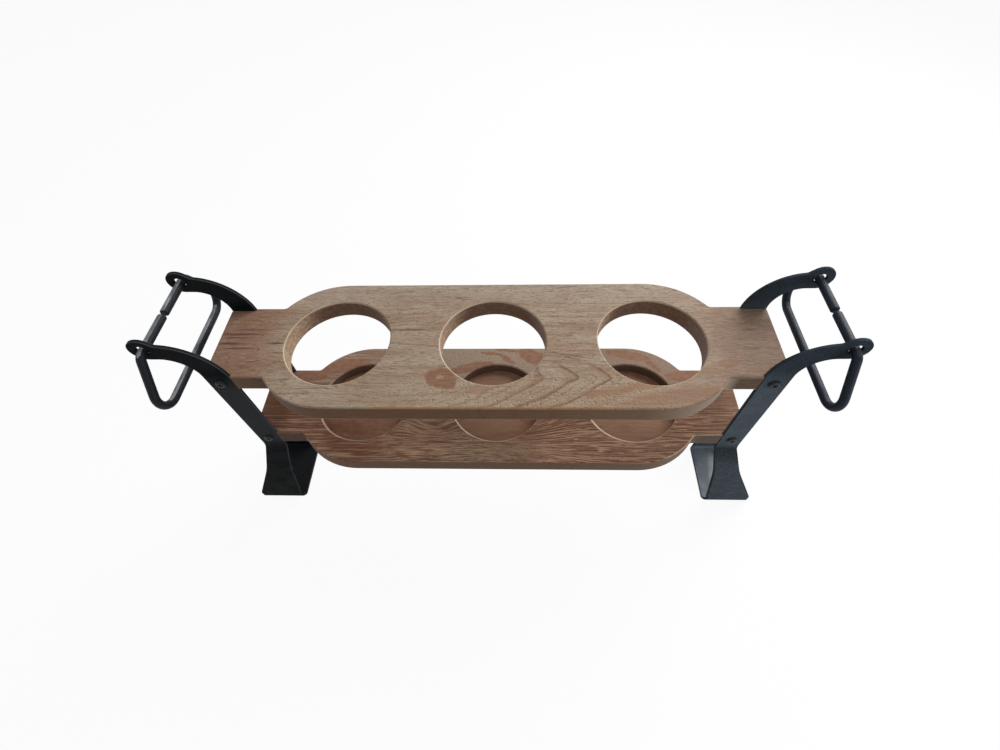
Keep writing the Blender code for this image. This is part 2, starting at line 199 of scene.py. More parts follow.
def round_edges(bm, edges, radius, segments):
    """Bevels the edges and notes the new faces as rim."""
    made = bmesh.ops.bevel(bm, geom=edges, offset=radius, offset_type="OFFSET", affect="EDGES",
                           segments=segments, profile=0.5, material=-1, clamp_overlap=True)
    note_faces(bm, "rim", made["faces"])


print("notes on the faces:", ", ".join(NOTES))

# %% [markdown]
# ## Drilling
#
# A hole could be cut by a Boolean, which leaves a ragged net of edges round it. Here it is drilled the way
# a hole is cut out of a drawing. The flat face is taken away, a ring is laid in its place, the area
# between is filled again, and the ring is extruded inward.

# %% Drilling
RING_SIDES = 24
SQUARE_ON = 0.999                 # a face looks a certain way if its normal goes this far along it


def lay_rings(bm, face, holes):
    """Opens a flat face at each hole (centre, radius, sides) and returns the edges of each ring."""
    turn = face.normal.to_track_quat("Z", "Y").to_matrix().to_4x4()
    border = face.edges[:]
    normal = face.normal.copy()
    rings = []
    for centre, radius, sides in holes:
        ring = bmesh.ops.create_circle(bm, cap_ends=False, segments=sides, radius=radius,
                                       matrix=Matrix.Translation(centre) @ turn)["verts"]
        rings.append(list({edge for vert in ring for edge in vert.link_edges}))
    bmesh.ops.delete(bm, geom=[face], context="FACES_ONLY")
    bmesh.ops.triangle_fill(bm, use_beauty=True, use_dissolve=False, edges=border + sum(rings, []),
                            normal=normal)
    return rings


def middle_of(verts):
    """The mean place of some vertices."""
    return sum((v.co for v in verts), Vector()) / len(verts)


def sink_ring(bm, edges, move, scale=1.0):
    """Extrudes a ring of edges, moves it, scales it about its own middle and returns the new ring."""
    grown = bmesh.ops.extrude_edge_only(bm, edges=edges)["geom"]
    verts = only(grown, BMVert)
    bmesh.ops.translate(bm, verts=verts, vec=move)
    to_middle = Matrix.Translation(-middle_of(verts))
    bmesh.ops.scale(bm, verts=verts, vec=(scale, scale, scale), space=to_middle)
    return [e for e in only(grown, BMEdge) if e.verts[0] in verts and e.verts[1] in verts]


def face_at(bm, place, normal):
    """The flat face that has this direction and lies nearest the place."""
    facing = [f for f in bm.faces if f.normal.dot(Vector(normal)) > SQUARE_ON]
    return min(facing, key=lambda f: (f.calc_center_median() - Vector(place)).length)


out_of_round = SCREW_HOLE_RADIUS * (1 - math.cos(math.pi / RING_SIDES))
print("a screw hole of", RING_SIDES, "sides strays", round(out_of_round * MM, 3), "mm from round")

# %% [markdown]
# ## Handing over
#
# A finished bmesh becomes an object whose place is in its mesh, so it needs no turning or moving. Faces
# that meet at less than the sharp angle are shaded as one smooth surface. Weighted normals then keep the
# large flat faces flat and leave all the bending of light to the narrow eased edges, as on the real thing.

# %% Handing over
SHARP_ANGLE = 38


def hand_over(name, bm, finish, body, slot, *nodes):
    """Turns the bmesh into a piece that rides on a body and stands for its CAD nodes."""
    bmesh.ops.remove_doubles(bm, verts=bm.verts, dist=WELD)
    bmesh.ops.recalc_face_normals(bm, faces=bm.faces)
    mesh = bpy.data.meshes.new(name)
    bm.to_mesh(mesh)
    bm.free()
    mesh.shade_smooth()
    mesh.set_sharp_from_angle(angle=math.radians(SHARP_ANGLE))
    mesh.materials.append(finish)
    piece = bpy.data.objects.new(name, mesh)
    bpy.context.scene.collection.objects.link(piece)
    even = piece.modifiers.new("even_shading", "WEIGHTED_NORMAL")
    even.mode = "FACE_AREA"
    even.keep_sharp = True
    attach(piece, body)
    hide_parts(*nodes)
    low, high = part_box(nodes[0])
    reach = max((Vector(c) - low).length for c in piece.bound_box) - (high - low).length
    print(name, "has", len(mesh.polygons), "faces; reach against the solid", round(reach * MM, 2), "mm")


print("edges under", SHARP_ANGLE, "degrees are shaded smooth")

# %% [markdown]
# ## Camera
#
# The photograph was taken from above and a little to the right of the middle, with a short lens close to
# the caddy, which is why its front board looks so much larger than its foot. The focal length and the
# angles were found by laying the solids over the photograph. The camera is placed by three directions of
# its own, right, up and ahead, because a roll is easier to see in them than in three angles.

# %% Camera
PHOTO_WIDTH = 1000
FOCAL_PIXELS = 489.926
SENSOR_WIDTH = 36
NEAREST_SEEN = 0.01
CAMERA_PLACE = (0.02164, -0.26118, 0.59132)
PITCH = math.radians(55.042)
ROLL = math.radians(-3.06)
YAW = math.radians(-3.76)

level = Vector((math.cos(YAW), -math.sin(YAW), 0))
rising = Vector((math.sin(PITCH) * math.sin(YAW), math.sin(PITCH) * math.cos(YAW), math.cos(PITCH)))
ahead = Vector((math.cos(PITCH) * math.sin(YAW), math.cos(PITCH) * math.cos(YAW), -math.sin(PITCH)))
right = math.cos(ROLL) * level + math.sin(ROLL) * rising
up = math.cos(ROLL) * rising - math.sin(ROLL) * level
turned = Matrix((right, up, -ahead)).transposed().to_4x4()
camera = bpy.data.objects.new("camera", bpy.data.cameras.new("camera"))
camera.matrix_world = Matrix.Translation(CAMERA_PLACE) @ turned
camera.data.sensor_width = SENSOR_WIDTH
camera.data.lens = FOCAL_PIXELS * SENSOR_WIDTH / PHOTO_WIDTH
camera.data.clip_start = NEAREST_SEEN
bpy.context.scene.collection.objects.link(camera)
bpy.context.scene.camera = camera
bpy.context.scene.view_settings.view_transform = "Standard"
print("camera lens", round(camera.data.lens, 2), "mm")

# %% [markdown]
# ## Sums on sockets
#
# A finish is a sum: a ground colour, more brown where the growth rings lie, darker where a pore is. In
# Blender each plus or times is a node, and drawing hundreds of them by hand is slow and hard to read. This
# small class wraps an output of a node, so that an expression such as 1 - mask * 0.5 adds the nodes.

# %% Wire
class Wire:
    """An output of a node that can be used in sums."""

    def __init__(self, tree, socket):
        self.tree = tree
        self.socket = socket

    def node(self, kind, settings=None, inputs=None, output=0):
        """Adds a node, sets it up, fills its sockets with values or wires, and returns one output."""
        made = self.tree.nodes.new("ShaderNode" + kind)
        for name, value in (settings or {}).items():
            if name == "stops":
                while len(made.color_ramp.elements) < len(value):
                    made.color_ramp.elements.new(1)
                for stop, (position, colour) in zip(made.color_ramp.elements, value):
                    stop.position = position
                    stop.color = (*colour, 1)
            else:
                setattr(made, name, value)
        for name, value in (inputs or {}).items():
            if isinstance(value, Wire):
                self.tree.links.new(value.socket, made.inputs[name])
            elif isinstance(value, tuple) and len(value) == 3 and made.inputs[name].type == "RGBA":
                made.inputs[name].default_value = (*value, 1)
            else:
                made.inputs[name].default_value = value
        return Wire(self.tree, made.outputs[output])

    def sum(self, operation, first, second=0.0):
        return self.node("Math", {"operation": operation}, {0: first, 1: second})

    def __add__(self, other):
        return self.sum("ADD", self, other)

    __radd__ = __add__

    def __sub__(self, other):
        return self.sum("SUBTRACT", self, other)

    def __rsub__(self, other):
        return self.sum("SUBTRACT", other, self)

    def __mul__(self, other):
        return self.sum("MULTIPLY", self, other)

    __rmul__ = __mul__

    def __truediv__(self, other):
        return self.sum("DIVIDE", self, other)

    def __rtruediv__(self, other):
        return self.sum("DIVIDE", other, self)

    def __abs__(self):
        return self.sum("ABSOLUTE", self)

    def root(self):
        return self.sum("POWER", self, 0.5)

    def least(self, other):
        return self.sum("MINIMUM", self, other)

    def most(self, other):
        return self.sum("MAXIMUM", self, other)

    def step(self, low, high):
        """Rises smoothly from 0 at low to 1 at high, or falls where low is the larger."""
        return self.node("MapRange", {"interpolation_type": "SMOOTHSTEP"},
                         {"Value": self, "From Min": low, "From Max": high})

    def between(self, first, second):
        """A number between two, by this share."""
        return first * (1 - self) + second * self

    def blend(self, first, second):
        """A colour between two, by this share."""
        return self.node("Mix", {"data_type": "RGBA"}, {0: self, 6: first, 7: second}, 2)

    def part(self, axis):
        """One coordinate of a place."""
        return self.node("SeparateXYZ", None, {0: self}, axis)

    def parts(self):
        """All three coordinates of a place."""
        return [self.part(axis) for axis in "XYZ"]

    def moved(self, across=0.0, along=0.0, height=0.0):
        """This place, moved by three numbers or wires."""
        shift = self.node("CombineXYZ", None, {0: across, 1: along, 2: height})
        return self.node("VectorMath", {"operation": "ADD"}, {0: self, 1: shift})

    def cloud(self, length, width, height, detail=2.0, roughness=0.5):
        """Noise whose blotches have about this size, so that long thin ones look like fibres."""
        scaled = self.node("Mapping", None, {"Vector": self, "Scale": (1 / length, 1 / width, 1 / height)})
        return self.node("TexNoise", None, {"Vector": scaled, "Scale": 1.0, "Detail": detail,
                                            "Roughness": roughness})

    def noted(self, name):
        """A number that was noted on the faces."""
        return self.node("Attribute", {"attribute_name": name}, None, "Fac")


helpers = [name for name in vars(Wire) if not name.startswith("__")]
print("beside its operators, a wire has:", ", ".join(helpers))

# %% [markdown]
# ## Starting and ending a finish
#
# Every finish starts from the place on the piece, in millimetres, because grain is easiest to think of in
# millimetres. It is the piece's own space and not its skin, so a pattern runs on round an edge as it does
# in solid wood. From there a finish is laid on in coats, as a painter would: each coat has a share, which
# is a mask from 0 to 1, and a colour. Colours are written as a screen shows them.

# %% Colours and coats
def paint(red, green, blue):
    """A colour as a screen shows it, turned into the share of light that a finish gives back."""
    return tuple(((c / 255 + 0.055) / 1.055) ** 2.4 for c in (red, green, blue))


def most_of(masks):
    """The largest of several masks at each place."""
    return reduce(Wire.most, masks)


def coats(colour, *layers):
    """Lays coats over a colour, each given as its share and its colour, with the last one on top."""
    for share, coat in layers:
        colour = share.blend(colour, coat)
    return colour


def new_finish(name, roughness, specular):
    """An empty material, its shader, and the place on the piece in millimetres."""
    material = bpy.data.materials.new(name)
    material.use_nodes = True
    tree = material.node_tree
    shader = tree.nodes["Principled BSDF"]
    shader.inputs["Roughness"].default_value = roughness
    shader.inputs["Specular IOR Level"].default_value = specular
    coordinates = Wire(tree, tree.nodes.new("ShaderNodeTexCoord").outputs["Object"])
    place = coordinates.node("Mapping", None, {"Vector": coordinates, "Scale": (MM, MM, MM)})
    return material, shader, place


def lead(wire, shader, socket):
    """Leads a wire to a socket of the shader."""
    wire.tree.links.new(wire.socket, shader.inputs[socket])


def colour_in(material, shader, colour):
    """Leads the finished colour to the shader and says how many nodes it took."""
    lead(colour, shader, "Base Color")
    print(material.name, "takes", len(material.node_tree.nodes), "nodes")


def roughen(shader, place, height, depth):
    """Gives the surface a fine relief of this depth in metres."""
    lead(place.node("Bump", None, {"Strength": 1.0, "Distance": depth, "Height": height}), shader, "Normal")


print("a half bright grey gives back", round(paint(128, 128, 128)[0], 2), "of the light")

# %% [markdown]
# ## Floor
#
# The photograph shows the caddy on plain white. The floor is a pale sheet that looks white to the camera,
# to a glossy surface and through a clear one, but keeps a little of its own shading, so that the caddy's
# soft shadow stays. To the light that it throws back on the caddy it is a mid grey, because a white floor
# would light the undersides, which are dark in the photograph.

# %% Floor
FLOOR_HALF_WIDTH = 8
FLOOR_WHITE_SHARE = 0.93
FLOOR_THROWN = (0.42, 0.42, 0.43)
FLOOR_SEEN = (0.95, 0.95, 0.96)
WHITE = (1.0, 1.0, 1.0)


def seen_rays(wire):
    """1 for rays that show a thing, straight, in a gloss or through something clear, and 0 for light."""
    kinds = ("Is Camera Ray", "Is Glossy Ray", "Is Transmission Ray")
    return most_of([wire.node("LightPath", output=kind) for kind in kinds])


sheet = bmesh.new()
bmesh.ops.create_grid(sheet, x_segments=1, y_segments=1, size=FLOOR_HALF_WIDTH)
floor_mesh = bpy.data.meshes.new("floor")
sheet.to_mesh(floor_mesh)
sheet.free()
floor = bpy.data.objects.new("floor", floor_mesh)
bpy.context.scene.collection.objects.link(floor)

pale_floor, shader, place = new_finish("pale_floor", 1.0, 0.0)
camera_ray = place.node("LightPath", output="Is Camera Ray")
lead(camera_ray.blend(FLOOR_THROWN, FLOOR_SEEN), shader, "Base Color")
shaded = Wire(place.tree, shader.outputs[0])
white = place.node("Emission", None, {"Color": WHITE, "Strength": 1.0})
mixed = place.node("MixShader", None, {0: seen_rays(place) * FLOOR_WHITE_SHARE, 1: shaded, 2: white})
lead(mixed, place.tree.nodes["Material Output"], "Surface")
floor_mesh.materials.append(pale_floor)
print("the floor is", 2 * FLOOR_HALF_WIDTH, "m wide")

# %% [markdown]
# ## Sky
#
# A studio fills its shadows with light from all around. The world does this here, with a faint cool grey,
# and shows itself as white where it is seen, so that the picture's background has no horizon.

# %% Sky
SKY_STRENGTH = 0.36
SKY_COLOUR = (0.93, 0.96, 1.0)

world = bpy.data.worlds.new("studio")
world.use_nodes = True
bpy.context.scene.world = world
sky = Wire(world.node_tree, world.node_tree.nodes["Background"].outputs[0])
sky.socket.node.inputs["Color"].default_value = (*SKY_COLOUR, 1)
sky.socket.node.inputs["Strength"].default_value = SKY_STRENGTH
backdrop = sky.node("Background", None, {"Color": WHITE, "Strength": 1.0})
lead(sky.node("MixShader", None, {0: seen_rays(sky), 1: sky, 2: backdrop}),
     sky.tree.nodes["World Output"], "Surface")
print("the sky's fill has a strength of", SKY_STRENGTH)

# %% [markdown]
# ## Lamps
#
# In the photograph the right ends of the boards and the right frame are paler than the left ones, and the
# left inner walls of the holes are bright. So the main light is a window behind the caddy on its right.
# A wide lamp above softens it, and a faint low one at the front right lifts the right foot. A lamp is
# wide against its distance wherever its shadow should be soft.

# %% Lamps
def soft_lamp(name, place, aim, size, watts, colour):
    """A square lamp that looks from its place at a point."""
    lamp = bpy.data.objects.new(name, bpy.data.lights.new(name, "AREA"))
    lamp.data.size = size
    lamp.data.energy = watts
    lamp.data.color = colour
    lamp.location = place
    lamp.rotation_mode = "QUATERNION"
    lamp.rotation_quaternion = (Vector(aim) - Vector(place)).to_track_quat("-Z", "Y")
    bpy.context.scene.collection.objects.link(lamp)
    return lamp


lamps = [soft_lamp("window_lamp", (0.85, 0.75, 1.05), (0.0, 0.0, 0.2), 0.9, 18.0, (1.0, 0.98, 0.95)),
         soft_lamp("ceiling_lamp", (-0.15, -0.10, 1.60), (0.0, 0.0, 0.2), 1.5, 3.5, (1.0, 0.99, 0.97)),
         soft_lamp("side_lamp", (0.90, -0.70, 0.28), (0.20, 0.0, 0.15), 0.5, 3.0, (0.85, 0.93, 1.0))]
print("lamps:", len(lamps), "with", sum(lamp.data.energy for lamp in lamps), "watts together")

# %% [markdown]
# ## Oak
#
# Oak is known by three things: fibres that run along the board, short dark pores in them, and growth rings
# that show as bands, or as pointed arches where the saw cut through them. All three are noise that is
# stretched along the board. Where noise passes its middle value it does so on a line, and in stretched
# noise these lines are long and thin. That is how the veins are made. A pattern that must not fall on
# top of another one is moved by some millimetres before it reads its noise.
#
# A figure that the photograph shows in one place, such as a knot, is an oval. Its outline is cut by a
# place that noise has shifted a little, so that it comes out ragged, as figure in wood is.

# %% Masks and veins
FAR = 1e6                         # an oval reaches through the whole board


def oval(place, x, y, half_length, half_width, turn=0.0, soft=0.25):
    """A mask that is 1 inside an oval on the board's face, turned by some degrees."""
    laid = {"Vector": place, "Location": (x, y, 0.0), "Rotation": (0.0, 0.0, math.radians(turn)),
            "Scale": (half_length, half_width, FAR)}
    inside = place.node("Mapping", {"vector_type": "TEXTURE"}, laid)
    return inside.node("VectorMath", {"operation": "LENGTH"}, {0: inside}, "Value").step(1 + soft, 1 - soft)


def ovals(place, soft, shapes):
    """A mask that is 1 inside any of several ovals: middle, half length, half width and turn of each."""
    return most_of([oval(place, *shape, soft=soft) for shape in shapes])


def ragged(place, length, width, amount):
    """The same place, shifted a little by noise, so that what is drawn there gets an uneven outline."""
    return place.moved((place.cloud(length, width, width, 3.0) - 0.5) * amount * 2.5,
                       (place.moved(71.0, 13.0).cloud(length, width, width, 3.0) - 0.5) * amount)


def veins(place, length, width, thin):
    """Thin lines along the grain: the places where a stretched noise passes its middle value."""
    return abs(place.cloud(length, width, width, 1.5) - 0.5).step(thin, thin * 0.25)


def colours_along(wire, stops):
    """A colour that changes along a line, given as places and the colour at each."""
    low, high = stops[0][0], stops[-1][0]
    share = wire.node("MapRange", None, {"Value": wire, "From Min": low, "From Max": high})
    return share.node("ValToRGB", {"stops": [((at - low) / (high - low), colour) for at, colour in stops]},
                      {0: share})


def hole_offset(place):
    """How far to the right of the middle of the nearest hole a place lies."""
    pitch = MM * JAR_PITCH
    shifted = place.part("X") + pitch / 2
    return shifted.sum("FLOORED_MODULO", shifted, pitch) - pitch / 2


JAR = MM * JAR_RADIUS
HALF_WIDTH = MM * BOARD_HALF_WIDTH
print("in millimetres, holes have a radius of", JAR, "and boards a half width of", HALF_WIDTH)

# %% [markdown]
# ## Limed oak
#
# The upper board is limed: a pale greyish rub over brown oak. Its straight grain is greige, with short
# dark pores. The two tabs took less of the rub and stay browner. Along the front the rub lies in coarse
# specks, pale and dark, because the saw opened the grain there. The place is made to drift a little
# before the noise reads it, so that no fibre runs dead straight. The ground comes first, then the fibres,
# and the pores last, as they lie deepest and hold most of the dark.

# %% Limed oak, the grain
UPPER_TOP = MM * UPPER_BOARD_TOP

limed_oak, shader, place = new_finish("limed_oak", 0.68, 0.25)
x, y, z = place.parts()
drift = (place.cloud(130, 50, 50, 1.0) - 0.5) * 16
flow = place.moved(0.0, drift, drift * 0.6)
tone = flow.cloud(85, 16, 16, 2.0).step(0.36, 0.64)
bands = flow.cloud(120, 3.2, 3.2, 2.0).step(0.53, 0.63)
fibres = flow.cloud(9, 0.6, 0.6, 3.0, 0.6)
pores = flow.cloud(3.4, 0.55, 0.55, 1.0).step(0.60, 0.68)
strokes = veins(flow.moved(23.0, 4.0), 60, 3.4, 0.035) * flow.cloud(18, 3, 3, 2.0).step(0.50, 0.60)
front = y.step(-30, -42) * x.step(-150, 20) * x.step(175, 120)
uneven_x = ragged(place, 30, 8, 16.0).part("X")
left_end = uneven_x.step(-172, -205)
right_end = uneven_x.step(168, 196)
colour = coats(tone.blend(paint(166, 148, 128), paint(154, 131, 110)),
               (bands * 0.55, paint(137, 108, 86)),
               (y.step(30, 64) * 0.5, paint(172, 157, 144)),
               (left_end * 0.8, paint(136, 100, 79)),
               (right_end * 0.7, paint(134, 108, 92)),
               (fibres.step(0.56, 0.34) * 0.45, paint(108, 84, 66)),
               (fibres.step(0.55, 0.72) * 0.35, paint(186, 170, 150)),
               (strokes * 0.55, paint(92, 66, 50)),
               (pores * 0.64 * (1 - front * 0.5) * (1 - right_end * 0.5), paint(70, 52, 40)))
print("limed oak so far:", len(limed_oak.node_tree.nodes), "nodes")

# %% [markdown]
# The front of the board has its own specks. A few dark streaks run over the left tab and between the
# first two holes, and three fine cracks lie slantwise beside the middle hole. Each is a thin ragged oval.

# %% Limed oak, specks, streaks and cracks
STREAKS = ((-222, 7.5, 18, 1.3), (-222, 3.5, 12, 0.8), (-227, -2.8, 12, 1.3), (-186, -2.4, 7, 1.2),
           (-214, 12.5, 14, 0.7), (-218, -8, 15, 0.7), (-75, 12, 16, 0.7))
CRACKS = ((66, -16, 20, 0.6, -11), (49, -21.5, 10, 0.5, -5), (96, -24, 12, 0.5, -14))

dark_specks = place.cloud(2.1, 1.3, 1.3, 1.0).step(0.61, 0.68)
pale_specks = place.moved(1.1, 0.7).cloud(2.1, 1.3, 1.3, 1.0).step(0.55, 0.64)
streaks = ovals(ragged(place, 12, 4, 1.6), 0.7, STREAKS)
cracks = ovals(ragged(place, 12, 4, 1.6), 0.8, CRACKS)
colour = coats(colour,
               (front * 0.3, paint(166, 146, 120)),
               (x.step(60, 130) * y.step(-30, -50) * 0.22, paint(128, 100, 82)),
               (pale_specks * front * 0.4, paint(192, 175, 152)),
               (dark_specks * front * 0.75, paint(76, 60, 48)),
               ((streaks * 0.85).most(cracks * 0.5), paint(78, 50, 38)))
print("streaks:", len(STREAKS), "cracks:", len(CRACKS))

# %% [markdown]
# The pointed arches are growth rings that the saw cut at a slant. They could be drawn one by one, but
# rings are all of one kind. So one number is worked out that is the same all along a ring: the place
# along the board, plus how far a point lies aside from the arches' own middle line. Whatever is drawn
# at one value of that number then follows the whole arch, both legs and the point. Two further terms
# lean the rear legs and flare the front ones near the edge. Each arch is a brown band with a dark line
# along its point side, broken here and there, and faint rings fill in between.

# %% Limed oak, the arches
ARCH_MIDDLE = -38.5
# the place of each arch's point, the width of its band, and the strengths of its band and its line
ARCHES = ((18.0, 8.0, 0.45, 0.35), (42.5, 9.0, 0.8, 0.75), (68.0, 9.0, 0.9, 1.0), (96.0, 9.0, 0.9, 1.0),
          (126.0, 18.0, 0.4, 0.0))


def ring_run(place):
    """Distance along the board's front, bent so that one value makes one pointed growth ring."""
    wobble = ragged(place, 24, 15, 5.4)
    x = wobble.part("X")
    aside = wobble.part("Y") - ARCH_MIDDLE
    legs = (aside * aside + 0.6).root() * 1.35 - aside * 0.13
    steeper = aside.most(0.0) * (x - 100) * 0.008
    flare = (-20 - aside).most(0.0) * 0.8
    return x + legs + steeper + flare - 1.0


run = ring_run(place)
arches = most_of([run.step(point + 1.0, point - 1.0) * run.step(point - width, point - 1.5) * band
                  for point, width, band, line in ARCHES])
lines = most_of([run.step(point + 1.1, point) * run.step(point - 4.2, point - 0.8) * line
                 for point, width, band, line in ARCHES])
legs_only = y.step(-21, -29)
along_rings = run.node("CombineXYZ", None, {0: run, 1: y, 2: 0.0})
rings = along_rings.cloud(3.4, 30, 30, 2.0).step(0.50, 0.36) * run.step(-60, -20) * run.step(136, 128)
mottle = place.cloud(4, 3, 3, 3.0).step(0.35, 0.68)
broken = place.cloud(10, 4, 4, 2.0).step(0.34, 0.58) * 0.75 + 0.25
colour = coats(colour,
               (rings * legs_only * 0.35, paint(112, 86, 66)),
               (arches * legs_only * 0.8, mottle.blend(paint(124, 93, 72), paint(146, 116, 94))),
               (lines * legs_only * broken * 0.62, paint(98, 68, 51)))
print("arches:", len(ARCHES), "and limed oak so far:", len(limed_oak.node_tree.nodes), "nodes")

# %% [markdown]
# Left of the arches lies an oval of smooth brown wood with a paler heart, where a small knot was close
# under the face. On their right a brown smear and a few blushes follow the grain to the board's round end.
# The blushes are broken into threads, because the stain sank in fibre by fibre.

# %% Limed oak, knot, smear and blushes
KNOT = ((-40.9, -38.6, 13.6, 9.6, -14), (-35.5, -44.0, 8.0, 5.4, -10))
BLUSHES = ((146, -55, 42, 7.5, 12), (112, -62, 16, 2.4, 3), (-12, -50, 12, 4, 10), (84, -52, 11, 3.4, 24),
           (186, -26, 18, 5, 20))

knot = ovals(ragged(place, 5, 5, 3.0), 0.14, KNOT)
heart = oval(ragged(place, 2.5, 2.5, 5.0), -41, -37.5, 3.6, 1.8, -10, 0.6)
smear = oval(ragged(place, 14, 6, 5.0), 118, -46.5, 46, 3.6, 13, 0.5)
blushes = ovals(ragged(place, 14, 6, 6.0), 0.35, BLUSHES)
threads = flow.moved(40.0, 11.0).cloud(42, 1.8, 1.8, 2.0).step(0.36, 0.60) * 0.55 + 0.45
colour = coats(colour,
               (smear * 0.6, paint(140, 101, 74)),
               (blushes * threads * 0.8, paint(138, 104, 81)),
               (knot * 0.92, fibres.step(0.3, 0.7).blend(paint(108, 73, 52), paint(142, 106, 84))),
               (heart * 0.6, paint(170, 142, 118)))
print("blushes:", len(BLUSHES))

# %% [markdown]
# The board's outer wall is brown and carries painted shade, darkest on the left, and painted light that
# turns it paler towards the right, so its colour is read along the board. The bores are brown too, with
# painted light and shade: palest on their left side, which faces the light, with a grey painted highlight
# on their right side. Last come the eased edges: the upper edge of each hole carries a pale painted
# highlight, mostly on its left and front, the long front edge has an amber line, and the right front
# end carries a pale painted highlight as well.

# %% Limed oak, walls, bores and eased edges, with painted light and shade
# The outer wall's colours along the board: painted shade, darkest on the left, and painted light that makes
# it paler on the right.
UPPER_WALL_SHADED = ((-240, paint(116, 90, 66)), (-190, paint(86, 60, 38)), (-120, paint(95, 57, 30)),
              (40, paint(97, 67, 42)), (120, paint(112, 84, 60)), (172, paint(166, 145, 124)),
              (190, paint(178, 158, 138)), (198, paint(86, 64, 48)))

wall = coats(colours_along(x, UPPER_WALL_SHADED), (fibres.step(0.42, 0.68) * 0.3, paint(136, 106, 80)))
offset = hole_offset(place)
# Painted light and shade in the bores: palest on their left side, which faces the light, darker elsewhere,
# and a grey painted highlight on their right side.
bore = offset.step(-22, -40).blend((mottle * 0.6).blend(paint(112, 84, 66), paint(142, 112, 90)),
                                   (mottle * 0.8).blend(paint(158, 128, 102), paint(196, 170, 146)))
bore = coats(bore, (offset.step(30, 42) * fibres.step(0.4, 0.6) * 0.6, paint(160, 148, 144)))
rim = place.noted("rim")
crest = rim * z.step(UPPER_TOP - 1.4, UPPER_TOP - 1.1) * z.step(UPPER_TOP - 0.1, UPPER_TOP - 0.4)
hole_rim = crest * abs(y).step(JAR + 5, JAR + 3) * abs(offset).step(JAR + 3, JAR + 1)
# Painted highlight on the eased upper edge of each hole, strongest on its left and front.
edge_highlight = (offset.step(44, -30) * 0.55 + y.step(20, -30) * 0.45) * (x.step(-150, -60) * 0.35 + 0.65)
front_rim = rim * y.step(1.8 - HALF_WIDTH, 1.2 - HALF_WIDTH) * z.step(UPPER_TOP - 2.0, UPPER_TOP - 1.6)
front_rim = front_rim * x.step(-102, -88) * x.step(110, 92) * (fibres * 0.9 + 0.1)
# Painted highlight on the eased edge at the right front end.
end_highlight = rim * x.step(150, 172) * y.step(-20, -34) * z.step(UPPER_TOP - 12, UPPER_TOP - 17)
colour = coats(colour,
               (place.noted("wall") * 0.94, wall),
               (place.noted("bore") * 0.95, bore),
               (hole_rim * edge_highlight.least(0.85), paint(222, 197, 173)),
               (front_rim, paint(172, 124, 68)),
               (end_highlight * 0.8, paint(214, 196, 170)))
roughen(shader, place, fibres * 0.5 - pores * 0.6, 0.00012)
colour_in(limed_oak, shader, colour)

# %% [markdown]
# ## Stained oak
#
# The lower board is stained redder before it is limed, so the white rub stays only in the open grain, in
# thin pale streaks that follow the rings. Between the first two recesses the grain dips like a bowl. Right
# of the middle it opens out like a fan. Both are made by bending the place before the noise reads it: Y is
# raised where the grain dips, and Y is squeezed where it opens. Each line of the noise then bends along.

# %% Stained oak, the flow of the grain
LOWER_TOP = MM * LOWER_BOARD_TOP


def streak_flow(place):
    """The place, with the rise and fall of the fibres along the front taken out of Y."""
    x, y, z = place.parts()
    bowl = x.step(-98, -60) * x.step(-30, -58) * y.step(-46, -33) * 8.0
    spread = x.step(0, 105) * 1.5 + 1.0
    opened = (y + 50.0) / spread - 50.0
    bent = y + (opened - y) * y.step(10, -10)
    return place.node("CombineXYZ", None, {0: x, 1: bent + bowl, 2: z})


stained_oak, shader, place = new_finish("stained_oak", 0.68, 0.25)
x, y, z = place.parts()
left_part = x.step(-100, -130)
middle = x.step(-120, -90) * x.step(-8, -34)
fan = x.step(5, 45)
drift = (place.cloud(70, 22, 22, 2.0) - 0.5) * (5 - fan * 3.2)
flow = streak_flow(place).moved(0.0, drift, drift * 0.6)
fine = flow.node("Mapping", None, {"Vector": flow, "Scale": (1.0, 2.3, 1.0)})
print("stained oak so far:", len(stained_oak.node_tree.nodes), "nodes")

# %% [markdown]
# The ground runs from red brown on the left over a paler middle to a deep red in the fan, with a grey
# patch at the middle of the front where the rub stayed on. Over it lie dark gaps and pale streaks. The fan
# reads a finer noise than the rest, because opening it out has also made its streaks wider.

# %% Stained oak, the grain
tone = flow.cloud(70, 12, 12, 2.0).step(0.38, 0.62)
streaks = fan.between(flow.cloud(64, 1.05, 1.05, 2.0, 0.65), fine.cloud(95, 1.3, 1.3, 1.0, 0.6))
gaps = fan.between(flow.moved(17.0, 5.0).cloud(60, 1.1, 1.1, 2.0, 0.65),
                   fine.moved(17.0, 5.0).cloud(95, 1.5, 1.5, 1.0, 0.6))
fibres = flow.cloud(9, 0.6, 0.6, 3.0, 0.6)
pale_lines = veins(flow.moved(9.0, 3.0), 170, 4.6, 0.05)
dark_lines = veins(flow.moved(60.0, 20.0), 46, 2.3, 0.07)
fan_lines = most_of([veins(fine.moved(31.0, 7.0), 80, 2.6, 0.05),
                     veins(fine.moved(80.0, 37.0), 60, 2.6, 0.045)])
grey = oval(ragged(place, 14, 9, 9.0), -12, -56, 46, 13, soft=0.5)
fan_red = x.step(130, 80).blend(paint(122, 80, 56), paint(107, 65, 41))
colour = fan.blend(tone.blend(paint(150, 110, 85), paint(138, 96, 71)), fan_red)
gap_share = (0.65 - grey * 0.3 + fan * 0.05) * (1 - middle * 0.4)
streak_share = 0.55 - grey * 0.2 - left_part * 0.35 - fan * 0.4
